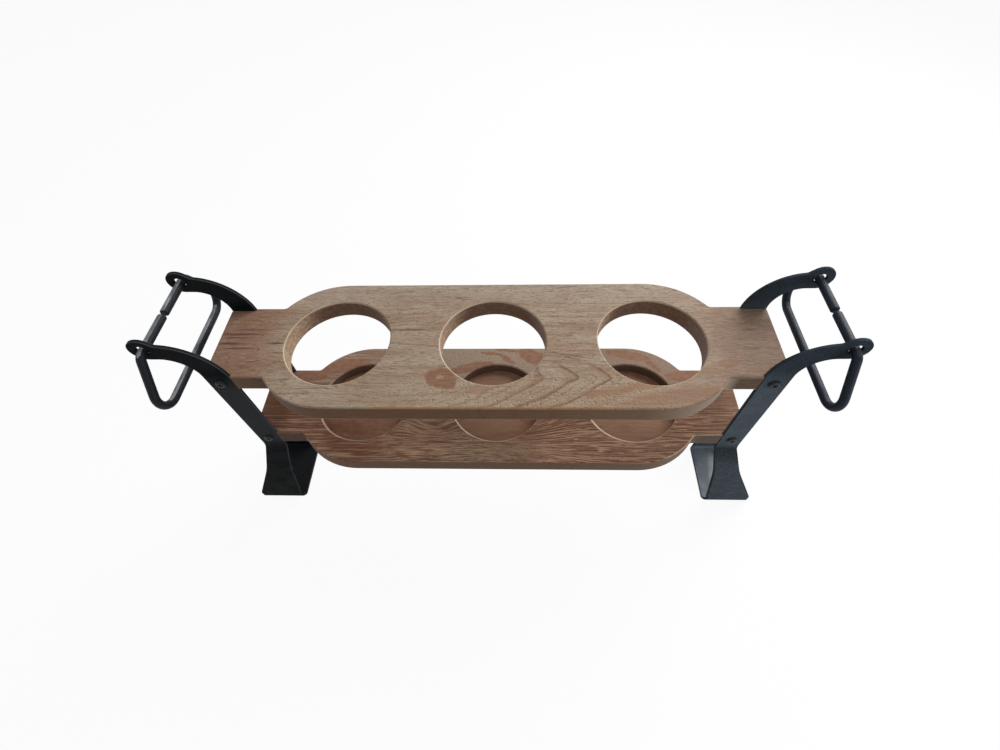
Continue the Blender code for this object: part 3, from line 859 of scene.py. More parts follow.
colour = coats(colour,
               (middle, paint(138, 104, 80)),
               (left_part, paint(132, 86, 61)),
               (grey * 0.75, paint(170, 143, 116)),
               (fibres.step(0.56, 0.34) * 0.45, paint(96, 62, 44)),
               (gaps.step(0.48, 0.38) * gap_share, paint(92, 54, 35)),
               (dark_lines * (middle * 0.6 + 0.1), paint(82, 50, 35)),
               (streaks.step(0.52, 0.60) * streak_share, paint(185, 151, 125)),
               (pale_lines * (left_part * 0.5 + 0.12), paint(200, 168, 144)),
               (fan_lines * fan * 0.85, paint(186, 148, 120)))
print("stained oak so far:", len(stained_oak.node_tree.nodes), "nodes")

# %% [markdown]
# Short flecks, pale and dark, and pores break up the long lines, or the board would look like printed
# foil. The tabs at both ends are painted darker as shade, where the upper board's tabs lie over them,
# the left one most.

# %% Stained oak, flecks and pores
flecks = fan.between(flow.moved(5.0, 2.0).cloud(13, 0.85, 0.85, 1.0),
                     fine.moved(5.0, 2.0).cloud(13, 0.9, 0.9, 1.0))
pores = flow.cloud(3.4, 0.55, 0.55, 1.0).step(0.58, 0.66)
# Painted shade on the tabs, under the upper board's tabs, deepest on the left.
shaded_tabs = most_of([x.step(-196, -222) * 0.55, x.step(190, 212) * 0.35])
colour = coats(colour,
               (flecks.step(0.56, 0.62) * (1 - left_part * 0.7 - fan * 0.75) * 0.5, paint(195, 161, 132)),
               (flecks.step(0.43, 0.37) * (0.5 - fan * 0.25), paint(80, 48, 33)),
               (pores * (0.3 + grey * 0.2), paint(72, 48, 34)),
               (shaded_tabs, paint(88, 54, 37)))
print("stained oak so far:", len(stained_oak.node_tree.nodes), "nodes")

# %% [markdown]
# The rear half, which shows through the holes, kept its lime: a sandy, speckled ground with smooth brown
# figures in it, like islands. The figures are ragged ovals again, and what of them the photograph
# hides is guessed in the same manner.

# %% Stained oak, the limed rear
FIGURES = ((-28, 41, 25, 6, 13), (-8, 59.5, 12, 1.9, -4), (9, 52.5, 11, 3.2, -40), (37, 55, 17, 9, -30),
           (10, 63.6, 15, 1.8, -8), (138, 57, 25, 5.6, -12), (162, 44, 12, 3.6, -48), (196, 30, 24, 7, 0),
           (-165, 43, 28, 8, 12), (-206, 30, 26, 7, 0), (-112, 52, 12, 3, -30))

speckle = place.cloud(1.6, 1.0, 1.0, 1.0)
mottle = place.cloud(6, 4, 4, 3.0).step(0.35, 0.68)
sandy = coats((speckle.step(0.42, 0.66) * 0.6).blend(paint(150, 130, 112), paint(176, 158, 138)),
              (x.step(60, 110) * 0.5, paint(132, 108, 90)),
              (speckle.step(0.46, 0.34) * 0.5, paint(104, 82, 66)))
figures = ovals(ragged(place, 9, 5, 3.2), 0.12, FIGURES)
colour = coats(colour,
               (y.step(10, 24) * (0.9 - x.step(-90, -140) * 0.4), sandy),
               (figures * y.step(6, 16) * 0.92, mottle.blend(paint(134, 94, 73), paint(146, 108, 86))))
print("figures:", len(FIGURES))

# %% [markdown]
# The cutter left the floors of the recesses smooth, and they took the stain evenly, so they show little
# but soft fibres. They are found by how deep they lie, which takes in the board's underside too. The
# recesses' walls are painted dark as shade, darkest at the back, and the outer wall carries painted
# shade on the left and painted light on the right. A pale painted highlight runs round the front left
# edge of each recess, and the front edge of the right tab carries a painted highlight as well.

# %% Stained oak, recesses, walls and lips
# The outer wall's colours along the board: painted shade, deepest on the left, and painted light that makes
# it paler on the right.
LOWER_WALL_SHADED = ((-240, paint(58, 33, 16)), (-190, paint(56, 34, 17)), (-165, paint(97, 68, 44)),
              (60, paint(97, 70, 50)), (150, paint(110, 87, 71)), (185, paint(122, 102, 86)),
              (198, paint(86, 73, 62)))

deep = z.step(LOWER_TOP - 6, LOWER_TOP - 11) * y.step(JAR + 15, JAR + 13)
smooth = coats(x.step(-95, -45).blend(paint(134, 93, 70), paint(156, 117, 93)),
               (mottle * 0.6, fibres.blend(paint(112, 74, 55), paint(180, 144, 120))),
               (place.cloud(40, 14, 14, 2.0).step(0.46, 0.62) * 0.45, paint(118, 72, 50)))
wall = coats(colours_along(x, LOWER_WALL_SHADED), (fibres.step(0.42, 0.68) * 0.3, paint(128, 104, 86)))
# Painted shade in the recesses' walls, darkest at the back.
shaded_recess_wall = y.step(-10, 14).blend(paint(112, 86, 68), paint(84, 64, 50))
offset = hole_offset(place)
away = (offset * offset + y * y).root()
thick = offset.step(-8, -34) * (x.step(20, 90) * 0.35 + 0.5)
lip = z.step(LOWER_TOP - 1.5, LOWER_TOP - 1.2) * away.step(thick + JAR + 1.4, thick + JAR + 1.1)
lip = lip * abs(x).step(MM * JAR_PITCH + 52.5, MM * JAR_PITCH + 50.5)
# Painted highlight on the front left edge of each recess.
edge_highlight = (offset.step(40, -24) * 0.75 + 0.15) * y.step(28, 4) * (x.step(-110, 100) * 0.3 + 0.7)
crest = place.noted("rim") * z.step(LOWER_TOP - 1.4, LOWER_TOP - 1.1)
crest = crest * z.step(LOWER_TOP - 0.05, LOWER_TOP - 0.3)
colour = coats(colour,
               (deep * (1 - place.noted("wall")) * 0.85, smooth),
               (place.noted("wall") * 0.94, wall),
               (place.noted("bore") * 0.9, shaded_recess_wall),
               (lip * edge_highlight, paint(232, 210, 184)),
               # painted highlight on the front edge of the right tab
               (crest * x.step(150, 168) * y.step(-36, -39) * 0.6, paint(208, 186, 158)))
roughen(shader, place, fibres * 0.5 - pores * 0.6, 0.00012)
colour_in(stained_oak, shader, colour)

# %% [markdown]
# ## Boards
#
# Each board is sawn from one plank: a long shape with round ends and a narrower tab at each end, where
# the frames hold it. Only the front half of its face is drawn, with half of each hole, and then mirrored,
# because a face can't have holes but two halves can meet round them.

# %% Face of a board
def board_face(bm):
    """Draws the front half of the board's face and mirrors it to the rear."""
    neck_y = TAB_HALF_WIDTH + NECK_RADIUS
    neck_x = JAR_PITCH + math.sqrt((BOARD_HALF_WIDTH + NECK_RADIUS) ** 2 - neck_y ** 2)
    neck_turn = math.degrees(math.atan2(neck_x - JAR_PITCH, neck_y))
    corner_x = BOARD_END - TAB_CORNER_RADIUS
    corner_y = TAB_HALF_WIDTH - TAB_CORNER_RADIUS
    corner_turn = math.asin((SEAT_Y - corner_y) / TAB_CORNER_RADIUS)
    corner_start = corner_x + TAB_CORNER_RADIUS * math.cos(corner_turn)
    pen = bm.verts.new((BOARD_END, 0, 0))
    pen = draw_line(bm, pen, BOARD_END, -corner_y)
    pen = draw_bend(bm, pen, corner_x, -corner_y, -math.degrees(corner_turn))
    pen = draw_line(bm, pen, SEAT_X, -SEAT_Y)
    pen = draw_line(bm, pen, SEAT_X, -TAB_HALF_WIDTH)
    pen = draw_line(bm, pen, neck_x, -TAB_HALF_WIDTH)
    pen = draw_bend(bm, pen, neck_x, -neck_y, neck_turn)
    pen = draw_bend(bm, pen, JAR_PITCH, 0, -neck_turn)
    pen = draw_line(bm, pen, -JAR_PITCH, -BOARD_HALF_WIDTH)
    pen = draw_bend(bm, pen, -JAR_PITCH, 0, -neck_turn)
    pen = draw_bend(bm, pen, -neck_x, -neck_y, neck_turn)
    pen = draw_line(bm, pen, -SEAT_X, -TAB_HALF_WIDTH)
    pen = draw_line(bm, pen, -SEAT_X, -SEAT_Y)
    pen = draw_line(bm, pen, -corner_start, -SEAT_Y)
    pen = draw_bend(bm, pen, -corner_x, -corner_y, -math.degrees(corner_turn))
    pen = draw_line(bm, pen, -BOARD_END, 0)
    for jar_x in JAR_PLACES:
        pen = draw_line(bm, pen, jar_x - JAR_RADIUS, 0)
        pen = draw_bend(bm, pen, jar_x, 0, 180)
    draw_line(bm, pen, BOARD_END, 0)
    close_outline(bm)
    mirror_to_rear(bm)


trial = bmesh.new()
board_face(trial)
print("a board's face:", round(sum(f.calc_area() for f in trial.faces) * 10000), "square centimetres")
trial.free()

# %% [markdown]
# The upper board's holes go through, so it gets a second face below. The lower board's recesses are
# blind, so its back is one whole face and each recess has a floor of its own. The edges of face and back
# are eased, and only the seats that the uprights lie in stay sharp, as the saw left them.

# %% Sawn and eased board
NEAR = 0.0001                     # how far from a jar's circle an edge or face still belongs to it
UPRIGHT_BELOW = 0.1               # a face stands upright if its normal rises by less than this


def near_jar(place):
    """True for a place that lies inside one of the holes or on its edge."""
    return any((place.xy - Vector((jar_x, 0))).length < JAR_RADIUS + NEAR for jar_x in JAR_PLACES)


def saw_board(bm, top, hole_depth):
    """Face, outer wall, holes or recesses, and back."""
    board_face(bm)
    bmesh.ops.translate(bm, verts=bm.verts, vec=(0, 0, top))
    border = [e for e in bm.edges if e.is_boundary]
    inside = [e for e in border if near_jar(middle_of(e.verts))]
    outside = [e for e in border if e not in inside]
    through = hole_depth >= BOARD_THICKNESS
    if through:
        back = bmesh.ops.duplicate(bm, geom=bm.faces[:])["geom"]
        bmesh.ops.translate(bm, verts=only(back, BMVert), vec=(0, 0, -BOARD_THICKNESS))
    wall_end = sink_ring(bm, outside, (0, 0, -BOARD_THICKNESS))
    hole_end = sink_ring(bm, inside, (0, 0, -hole_depth))
    if not through:
        bmesh.ops.edgeloop_fill(bm, edges=wall_end)
        bmesh.ops.edgeloop_fill(bm, edges=hole_end)
    bmesh.ops.remove_doubles(bm, verts=bm.verts, dist=WELD)
    bmesh.ops.recalc_face_normals(bm, faces=bm.faces)


def is_seat_edge(edge):
    """True for the edges of the four seats that the uprights lie in."""
    return all(abs(v.co.x) > SEAT_X - WELD and abs(v.co.y) > SEAT_Y - WELD for v in edge.verts)


def ease_board(bm, top):
    """Eases the edges of the face and of the back, and notes which faces are walls and which are bores."""
    levels = (top, top - BOARD_THICKNESS)
    edges = [e for e in bm.edges if abs(e.verts[0].co.z - e.verts[1].co.z) < WELD
             and min(abs(e.verts[0].co.z - level) for level in levels) < WELD
             and is_sharp(e) and not is_seat_edge(e)]
    round_edges(bm, edges, BOARD_EDGE_RADIUS, BOARD_EDGE_STEPS)
    upright = [f for f in bm.faces if abs(f.normal.z) < UPRIGHT_BELOW]
    bored = [f for f in upright if near_jar(f.calc_center_median())]
    note_faces(bm, "bore", bored)
    note_faces(bm, "wall", [f for f in upright if f not in bored])


print("a recess leaves", round((BOARD_THICKNESS - RECESS_DEPTH) * MM, 1), "mm of wood under it")

# %% [markdown]
# Four pilot holes for the screws go into the seats of each board. They are drilled last, because a bevel
# works best on a simple outline.

# %% Boards
def drill_pilots(bm, top):
    """Drills the four blind holes that the screws bite into."""
    for side in (-1, 1):
        for face_side in (-1, 1):
            mouth = Vector((side * SCREW_X, face_side * SEAT_Y, top - BOARD_THICKNESS / 2))
            seat = face_at(bm, mouth, (0, face_side, 0))
            pilot = lay_rings(bm, seat, [(mouth, SCREW_HOLE_RADIUS, RING_SIDES)])[0]
            end = sink_ring(bm, pilot, (0, -face_side * PILOT_DEPTH, 0))
            bmesh.ops.edgeloop_fill(bm, edges=end)


def make_board(name, top, hole_depth, finish, slot, node):
    """Saws, eases and drills a board."""
    bm = noted_bmesh()
    saw_board(bm, top, hole_depth)
    ease_board(bm, top)
    drill_pilots(bm, top)
    hand_over(name, bm, finish, "base", slot, node)


make_board("rack_board", UPPER_BOARD_TOP, BOARD_THICKNESS, limed_oak, "limed_oak", "upper_board")
make_board("shelf_board", LOWER_BOARD_TOP, RECESS_DEPTH, stained_oak, "stained_oak", "lower_board")

# %% [markdown]
# ## End frames
#
# Each end frame is one flat bar. A smith would cut its outline from sheet, with foot, upright, arm and
# eye, fold it up from the floor, and drill it. It is made here in the same order: the outline is drawn
# and given its thickness, the cut end at the foot is spun round the fold and run along the floor, and the
# rear half is the mirror of the front half.

# %% Measures of the end frames
BAR_THICKNESS = 0.003
BAR_EDGE_RADIUS = 0.0006
BAR_EDGE_STEPS = 3
FRAME_FACE = 0.038                # where the front of a front upright stands
FOLD_RADIUS = 0.006
FLOOR_BAR = (0.247, 0.301)        # inner and outer edge of the floor bar, foot, calf and upright
FOOT = (0.2505, 0.2995)
CALF = (0.2346, 0.2629)
UPRIGHT = (0.2155, 0.2375)
HEEL_HEIGHT = 0.014
HEEL_RADIUS = 0.012
CALF_HEIGHT = 0.084
CALF_RADIUS = 0.300
KNEE_HEIGHT = 0.146
KNEE_RADIUS = 0.030
ARM_UNDERSIDE = 0.2919
ARM_UNDERSIDE_RADIUS = 0.0224
ARM_BEND = (0.2581, 0.2650)
ARM_BEND_RADIUS = 0.0426
EYE = (0.2662, 0.3029)
EYE_RADIUS = 0.011
EYE_NECK_RADIUS = 0.006
print("frames are", 2 * FRAME_FACE, "deep and", EYE[1] + EYE_RADIUS, "high")

# %% [markdown]
# The leg runs straight from heel to calf to knee, with a wide soft bend at each, and the upright stands
# straight up from there. The arm's inner side is one wide bow, and a small hollow bend leads from it into
# the eye. That hollow one has to touch two circles, and its centre follows from them: it lies on the
# crossing of two larger circles round their centres.

# %% Outline of a plate
def turn_between(centre, start, end, clockwise):
    """Degrees from one place to another round a centre."""
    first = math.atan2(start[1] - centre[1], start[0] - centre[0])
    last = math.atan2(end[1] - centre[1], end[0] - centre[0])
    turn = math.degrees(last - first) % 360
    return turn - 360 if clockwise else turn


def crossing(a, radius_a, b, radius_b):
    """Where two circles cross, to the left of the line from a to b."""
    across = b - a
    ahead = (across.length_squared + radius_a ** 2 - radius_b ** 2) / (2 * across.length)
    aside = math.sqrt(radius_a ** 2 - ahead ** 2)
    step = across.normalized()
    return a + step * ahead + Vector((-step.y, step.x)) * aside


def plate_outline(bm):
    """Draws the plate in X and height: up the outside of the foot, round the eye and down the inside."""
    eye = Vector(EYE)
    bend = Vector(ARM_BEND)
    neck = crossing(bend, ARM_BEND_RADIUS + EYE_NECK_RADIUS, eye, EYE_RADIUS + EYE_NECK_RADIUS)
    on_eye = eye + (neck - eye).normalized() * EYE_RADIUS
    on_bend = bend + (neck - bend).normalized() * ARM_BEND_RADIUS
    inner, outer = UPRIGHT
    pen = bm.verts.new((FOOT[1], FOLD_RADIUS, 0))
    pen = draw_corner(bm, pen, (FOOT[1], HEEL_HEIGHT), (CALF[1], CALF_HEIGHT), HEEL_RADIUS)
    pen = draw_corner(bm, pen, (CALF[1], CALF_HEIGHT), (outer, KNEE_HEIGHT), CALF_RADIUS)
    pen = draw_corner(bm, pen, (outer, KNEE_HEIGHT), (outer, UPPER_BOARD_TOP), KNEE_RADIUS)
    pen = draw_corner(bm, pen, (outer, ARM_UNDERSIDE), (eye.x, ARM_UNDERSIDE), ARM_UNDERSIDE_RADIUS)
    pen = draw_line(bm, pen, eye.x, ARM_UNDERSIDE)
    pen = draw_bend(bm, pen, *eye, turn_between(eye, pen.co, on_eye, False))
    pen = draw_bend(bm, pen, *neck, turn_between(neck, on_eye, on_bend, True))
    pen = draw_bend(bm, pen, *bend, turn_between(bend, on_bend, (inner, bend.y), False))
    pen = draw_corner(bm, pen, (inner, KNEE_HEIGHT), (CALF[0], CALF_HEIGHT), KNEE_RADIUS)
    pen = draw_corner(bm, pen, (CALF[0], CALF_HEIGHT), (FOOT[0], FOLD_RADIUS), CALF_RADIUS)
    pen = draw_line(bm, pen, FOOT[0], FOLD_RADIUS)
    draw_line(bm, pen, FOOT[1], FOLD_RADIUS)
    close_outline(bm)


trial = bmesh.new()
plate_outline(trial)
print("a plate's outline has", len(trial.verts), "points")
trial.free()

# %% [markdown]
# The foot widens a little as it turns into the floor bar, so each row of the fold is moved sideways by its
# share of the turn. The eye and the screw holes are drilled when the edges are already eased, and each
# hole gets a small chamfer of its own: two rings are sunk from both faces and bridged.

# %% Fold and holes
FOLD_STEPS = 8
EYE_HOLE_RADIUS = 0.0048
EYE_SIDES = 40
CHAMFER = 0.0004


def fold_foot(bm):
    """Spins the cut end of the foot round the fold and runs it along the floor to the middle."""
    foot_middle = (FOOT[0] + FOOT[1]) / 2
    fold_y = FOLD_RADIUS - FRAME_FACE
    end = face_at(bm, (foot_middle, -FRAME_FACE, FOLD_RADIUS), (0, 0, -1))
    ring = end.edges[:]
    bmesh.ops.delete(bm, geom=[end], context="FACES_ONLY")
    folded = bmesh.ops.spin(bm, geom=ring, cent=(0, fold_y, FOLD_RADIUS), axis=(1, 0, 0),
                            angle=math.radians(90), steps=FOLD_STEPS, use_duplicate=False)["geom_last"]
    sink_ring(bm, only(folded, BMEdge), (0, -fold_y, 0))
    for vert in bm.verts:
        below = FOLD_RADIUS - vert.co.z
        if below > WELD:
            turn = math.atan2(below, max(0.0, fold_y - vert.co.y))
            edge = 0 if vert.co.x < foot_middle else 1
            vert.co.x += (FLOOR_BAR[edge] - FOOT[edge]) * math.sin(turn) ** 2


def drill_plate(bm, side, face_side):
    """Drills the eye and the two screw holes through one plate, each with a small chamfer."""
    holes = [(EYE[0], EYE[1], EYE_HOLE_RADIUS, EYE_SIDES)]
    for top in (UPPER_BOARD_TOP, LOWER_BOARD_TOP):
        holes.append((SCREW_X, top - BOARD_THICKNESS / 2, SCREW_HOLE_RADIUS, RING_SIDES))
    sunk = [[] for hole in holes]
    for y, normal in ((FRAME_FACE, face_side), (FRAME_FACE - BAR_THICKNESS, -face_side)):
        half = [f for f in bm.faces if f.calc_center_median().y * face_side > 0]
        plate = max((f for f in half if f.normal.y * normal > SQUARE_ON), key=lambda f: f.calc_area())
        rings = lay_rings(bm, plate, [(Vector((side * x, face_side * y, z)), radius + CHAMFER, sides)
                                      for x, z, radius, sides in holes])
        for number, (x, z, radius, sides) in enumerate(holes):
            narrower = radius / (radius + CHAMFER)
            sunk[number] += sink_ring(bm, rings[number], (0, -normal * CHAMFER, 0), narrower)
    for edges in sunk:
        bmesh.ops.bridge_loops(bm, edges=edges)


print("the foot widens by", round((FOOT[0] - FLOOR_BAR[0]) * MM, 1), "mm inward",
      "and", round((FLOOR_BAR[1] - FOOT[1]) * MM, 1), "mm outward")

# %% [markdown]
# ## Black bar
#
# The bars are blackened steel, one black on both frames. Its colour is painted light: near black on the
# left frame and a blue grey on the right one, so the colour runs from one to the other along the caddy,
# and each part, foot, upright, arm and floor bar, gets its own painted light and shade of that black.
# Scratches lie in four directions, since one direction would look brushed and two would look woven, and
# they come and go in patches. The sheen is kept very low: on a face that is seen almost edge on, any
# gloss would mirror the white studio and turn the black to grey.

# %% Black bar, marks
SCRATCH_TURNS = (14, 52, 97, 151)

black_bar, shader, place = new_finish("black_bar", 0.56, 0.01)
x, y, z = place.parts()
blotch = place.cloud(14, 14, 14, 3.0).step(0.35, 0.65)
grit = place.cloud(1.2, 1.2, 1.2, 2.0).step(0.35, 0.65)
turned_places = [place.node("Mapping", None, {"Vector": place, "Rotation": (0.0, math.radians(turn), 0.0)})
                 .moved(turn, 0.0, turn) for turn in SCRATCH_TURNS]
scratches = most_of([turned.cloud(6, 20, 0.7, 1.0).step(0.64, 0.76) for turned in turned_places])
scratches = scratches * place.cloud(9, 9, 9, 2.0).step(0.44, 0.60)
print("black bar so far:", len(black_bar.node_tree.nodes), "nodes")

# %% [markdown]
# A dark line of painted shade follows the inner edge of the right leg. It is found by its distance from
# that edge, which is taken as straight from knee to calf and from calf to foot.

# %% Black bar, colour
def edge_x(z, top_x, top_z, low_x, low_z):
    """Where a straight edge from a top place to a lower one lies at this height, in millimetres."""
    slope = (low_x - top_x) / (top_z - low_z)
    return (MM * top_z - z) * slope + MM * top_x


# Painted light: the black runs from near black on the left frame to a paler blue grey on the right one.
right_side = x.step(-60, 120)
arm = z.step(268, 285)
upright = z.step(140, 165) * z.step(275, 245)
floor_bar = z.step(8, 4) * abs(y).step(37, 33)
# Lit and shaded copies of one black on the left frame: a dark foot, a paler upright with a painted sheen,
# and arms and floor bar between.
left = upright.blend(paint(11, 12, 13), paint(59, 60, 62))
left = coats(left, (arm.most(floor_bar), paint(31, 32, 34)))
knee_to_calf = edge_x(z, UPRIGHT[0], KNEE_HEIGHT, CALF[0], CALF_HEIGHT)
calf_to_foot = edge_x(z, CALF[0], CALF_HEIGHT, FOOT[0], FOLD_RADIUS)
inner_edge = (x - knee_to_calf.least(calf_to_foot)).step(2.6, 1.0) * z.step(3, 12) * z.step(262, 250)
# A painted reflection: the right floor bar is painted pale, with a paler painted streak along it.
sheen = oval(place, 268, 1, 4, 30, -8, 0.6)
# Lit and shaded copies of one black on the right frame, each part with its own painted light and shade.
right = coats(upright.blend(paint(66, 74, 80), paint(88, 96, 102)),
              (arm, paint(53, 60, 68)),
              # painted shade across the knee of the right leg, and along its inner edge
              (z.step(152, 144) * z.step(96, 136) * 0.8, paint(22, 26, 32)),
              (inner_edge * 0.85, paint(20, 23, 28)),
              (floor_bar, (sheen * 0.7).blend(paint(130, 136, 145), paint(166, 173, 182))))
print("black bar so far:", len(black_bar.node_tree.nodes), "nodes")

# %% [markdown]
# Over the colour lie faint blotches, the scratches on the right foot, and a fine grit. The eased edges
# carry a faint painted highlight on the left frame, and painted shade on the right one, darker than its
# faces.

# %% Black bar, wear and painted edges
rim = place.noted("rim")
arm_edge = z.step(262, 275)
grit_share = right_side * (0.2 - z.step(240, 275) * 0.14) + 0.02
colour = coats(right_side.blend(left, right),
               (blotch * (right_side * 0.2 + 0.05), (0.0, 0.0, 0.0)),
               (scratches * right_side * z.step(130, 90) * 0.65, paint(134, 143, 150)),
               (grit * grit_share, paint(116, 126, 134)),
               # painted highlight on the left frame's eased edges, painted shade on the right frame's
               (rim * (1 - right_side) * (arm_edge * 0.1 + 0.12), paint(132, 134, 136)),
               (rim * right_side * (1 - arm_edge) * 0.8, paint(16, 19, 24)))
lead(0.60 - blotch * 0.12, shader, "Roughness")
roughen(shader, place, grit * 0.6 + scratches * 0.4, 0.00004)
colour_in(black_bar, shader, colour)

# %% [markdown]
# With outline, fold, holes and finish at hand, a frame is made in the smith's order. The left frame is the
# right one with its X turned round. Its faces are then inside out, so the normals are worked out again.

# %% End frames
def make_end_frame(name, side, node):
    """Plate, fold, floor bar, mirror image, eased edges and holes."""
    bm = noted_bmesh()
    plate_outline(bm)
    bmesh.ops.rotate(bm, verts=bm.verts, matrix=Matrix.Rotation(math.radians(90), 3, "X"))
    bmesh.ops.translate(bm, verts=bm.verts, vec=(0, -FRAME_FACE, 0))
    grown = bmesh.ops.extrude_face_region(bm, geom=bm.faces[:])["geom"]
    bmesh.ops.translate(bm, verts=only(grown, BMVert), vec=(0, BAR_THICKNESS, 0))
    bmesh.ops.recalc_face_normals(bm, faces=bm.faces)
    fold_foot(bm)
    mirror_to_rear(bm)
    bmesh.ops.scale(bm, verts=bm.verts, vec=(side, 1, 1))
    bmesh.ops.recalc_face_normals(bm, faces=bm.faces)
    round_edges(bm, [e for e in bm.edges if is_sharp(e)], BAR_EDGE_RADIUS, BAR_EDGE_STEPS)
    for face_side in (-1, 1):
        drill_plate(bm, side, face_side)
    hand_over(name, bm, black_bar, "base", "black_bar", node)


make_end_frame("left_bent_bar", -1, "left_end_frame")
make_end_frame("right_bent_bar", 1, "right_end_frame")

# %% [markdown]
# ## Black rod
#
# The rods have the same black on drawn steel. It is smoother than the bar's, so it has a soft gloss. A
# grey painted highlight lies along the top, most of all on the left bail, and the right rods are painted
# a little bluer and paler as painted light. The highlight is laid where the faces were noted as top, and
# noise breaks it up.

# %% Black rod
black_rod, shader, place = new_finish("black_rod", 0.42, 0.12)
left_side = place.part("X").step(60, -60)
# A painted highlight along the top of the rods.
painted_highlight = place.noted("top") * (place.cloud(4, 16, 9, 3.0).step(0.36, 0.60) * 0.6 + 0.4)
grit = place.cloud(0.7, 0.7, 0.7, 2.0).step(0.40, 0.65)
# Painted light: the right rods are bluer and paler, and the painted highlight is strongest on the left.
colour = coats(left_side.blend(paint(26, 33, 44), paint(22, 24, 27)),
               (painted_highlight * (left_side * 0.75 + 0.14), paint(150, 154, 160)),
               (grit * 0.08, paint(88, 98, 112)))
lead(0.46 - painted_highlight * 0.14, shader, "Roughness")
roughen(shader, place, grit, 0.00006)
colour_in(black_rod, shader, colour)

# %% [markdown]
# ## Bails
#
# A bail is one round rod that is bent hot round a former. Its two ends come in from outside through the
# two eyes and nearly meet. The pen is now a ring: it is pushed along each straight run and spun round
# each bend, which is exactly what the bending does to the rod. Each bail rides on its own body, so it
# swings in its eyes.

# %% Bending a rod
ROD_RADIUS = 0.0035
GRIP_RADIUS = 0.014


def ring_middle(edges):
    """The middle of a ring of edges."""
    return middle_of({v for e in edges for v in e.verts})


def push_to(bm, edges, y, z):
    """Pushes the ring until its middle is at a place in the bail's plane."""
    return sink_ring(bm, edges, Vector((0, y, z)) - ring_middle(edges))


def bend_rod(bm, edges, before, corner, after, radius):
    """Pushes the ring to where a bend starts and spins it round the bend's centre."""
    start, centre, degrees = corner_bend(before, corner, after, radius)
    edges = push_to(bm, edges, *start)
    swung = bmesh.ops.spin(bm, geom=edges, cent=(0, *centre), axis=(1, 0, 0), angle=math.radians(degrees),
                           steps=bend_steps(radius + ROD_RADIUS, degrees), use_duplicate=False)["geom_last"]
    return only(swung, BMEdge)


print("steps of a quarter bend at a grip:", bend_steps(GRIP_RADIUS + ROD_RADIUS, 90))

# %% [markdown]
# Half a bail is made, from the rounded end of the rod out through the eye, down over the shoulder and to
# the middle of the grip. The end is rounded by a few rings that widen by the sine of an angle, which puts
# them on a quarter of a circle.

# %% Bails
ROD_END_RADIUS = 0.0015           # the rounding of the rod's two ends
END_GAP = 0.0012                  # from the middle of the caddy to a rod's end
END_ANGLES = (22.5, 45, 67.5, 90)
HINGE_Z = 0.3019
BAIL_DROP = 0.0502
SHOULDER_Y = 0.043
SHOULDER_RADIUS = 0.007
LEAN = math.radians(29.5)
TOP_ABOVE = 0.8                   # a face is on top of the rod if its normal rises by more than this


def rod_end(bm):
    """A capped ring that grows to the full rod over a rounded end, and returns its last ring."""
    radius = ROD_RADIUS - ROD_END_RADIUS
    turn = Matrix.Rotation(math.radians(-90), 4, "X")
    bmesh.ops.create_circle(bm, cap_ends=True, segments=RING_SIDES, radius=radius,
                            matrix=Matrix.Translation((0, END_GAP, 0)) @ turn)
    edges = bm.edges[:]
    for angle in END_ANGLES:
        wider = ROD_RADIUS - ROD_END_RADIUS * (1 - math.sin(math.radians(angle)))
        y = END_GAP + ROD_END_RADIUS * (1 - math.cos(math.radians(angle)))
        edges = sink_ring(bm, edges, (0, y - ring_middle(edges).y, 0), wider / radius)
        radius = wider
    return edges


def make_bail(name, side, body, node):
    """Half a rod from its inner end to the middle of the grip, and its mirror image."""
    shoulder = (SHOULDER_Y, 0)
    grip_corner = (SHOULDER_Y + BAIL_DROP * math.tan(LEAN), -BAIL_DROP)
    bm = noted_bmesh()
    edges = rod_end(bm)
    edges = bend_rod(bm, edges, (0, 0), shoulder, grip_corner, SHOULDER_RADIUS)
    edges = bend_rod(bm, edges, shoulder, grip_corner, (0, -BAIL_DROP), GRIP_RADIUS)
    push_to(bm, edges, 0, -BAIL_DROP)
    mirror_to_rear(bm)
    bmesh.ops.translate(bm, verts=bm.verts, vec=(side * EYE[0], 0, HINGE_Z))
    bmesh.ops.recalc_face_normals(bm, faces=bm.faces)
    note_faces(bm, "top", [f for f in bm.faces if f.normal.z > TOP_ABOVE])
    hand_over(name, bm, black_rod, body, "black_rod", node)


make_bail("left_rod_handle", -1, "left_bail", "left_bail_handle")
make_bail("right_rod_handle", 1, "right_bail", "right_bail_handle")

# %% [markdown]
# ## Screws
#
# Eight black screws with domed heads hold the uprights in the boards' seats. They have the frames' black,
# a little glossier, and are painted paler and bluer on the right as painted light, like the frame there.

# %% Black screw
black_screw, shader, place = new_finish("black_screw", 0.42, 0.20)
grit = place.cloud(0.6, 0.6, 0.6, 2.0).step(0.40, 0.65)
# Painted light: paler and bluer on the right, like the frame.
colour = coats(place.part("X").step(-60, 120).blend(paint(14, 15, 16), paint(30, 35, 42)),
               (grit * 0.15, paint(96, 102, 108)))
lead(0.5 - grit * 0.12, shader, "Roughness")
colour_in(black_screw, shader, colour)

# %% [markdown]
# A screw is turned on a lathe, so its profile is drawn with the pen and spun round its axis. The profile
# stops at the flat on top of the head, which stays open for the driver's recess.

# %% Turned screw
HEAD_RADIUS = 0.0046
HEAD_HEIGHT = 0.0022
HEAD_FLAT = 0.0030
SHANK_RADIUS = 0.002
SHANK_LENGTH = 0.018
SCREW_LENGTH = 0.022
TIP_RADIUS = 0.0004
LATHE_STEPS = 40


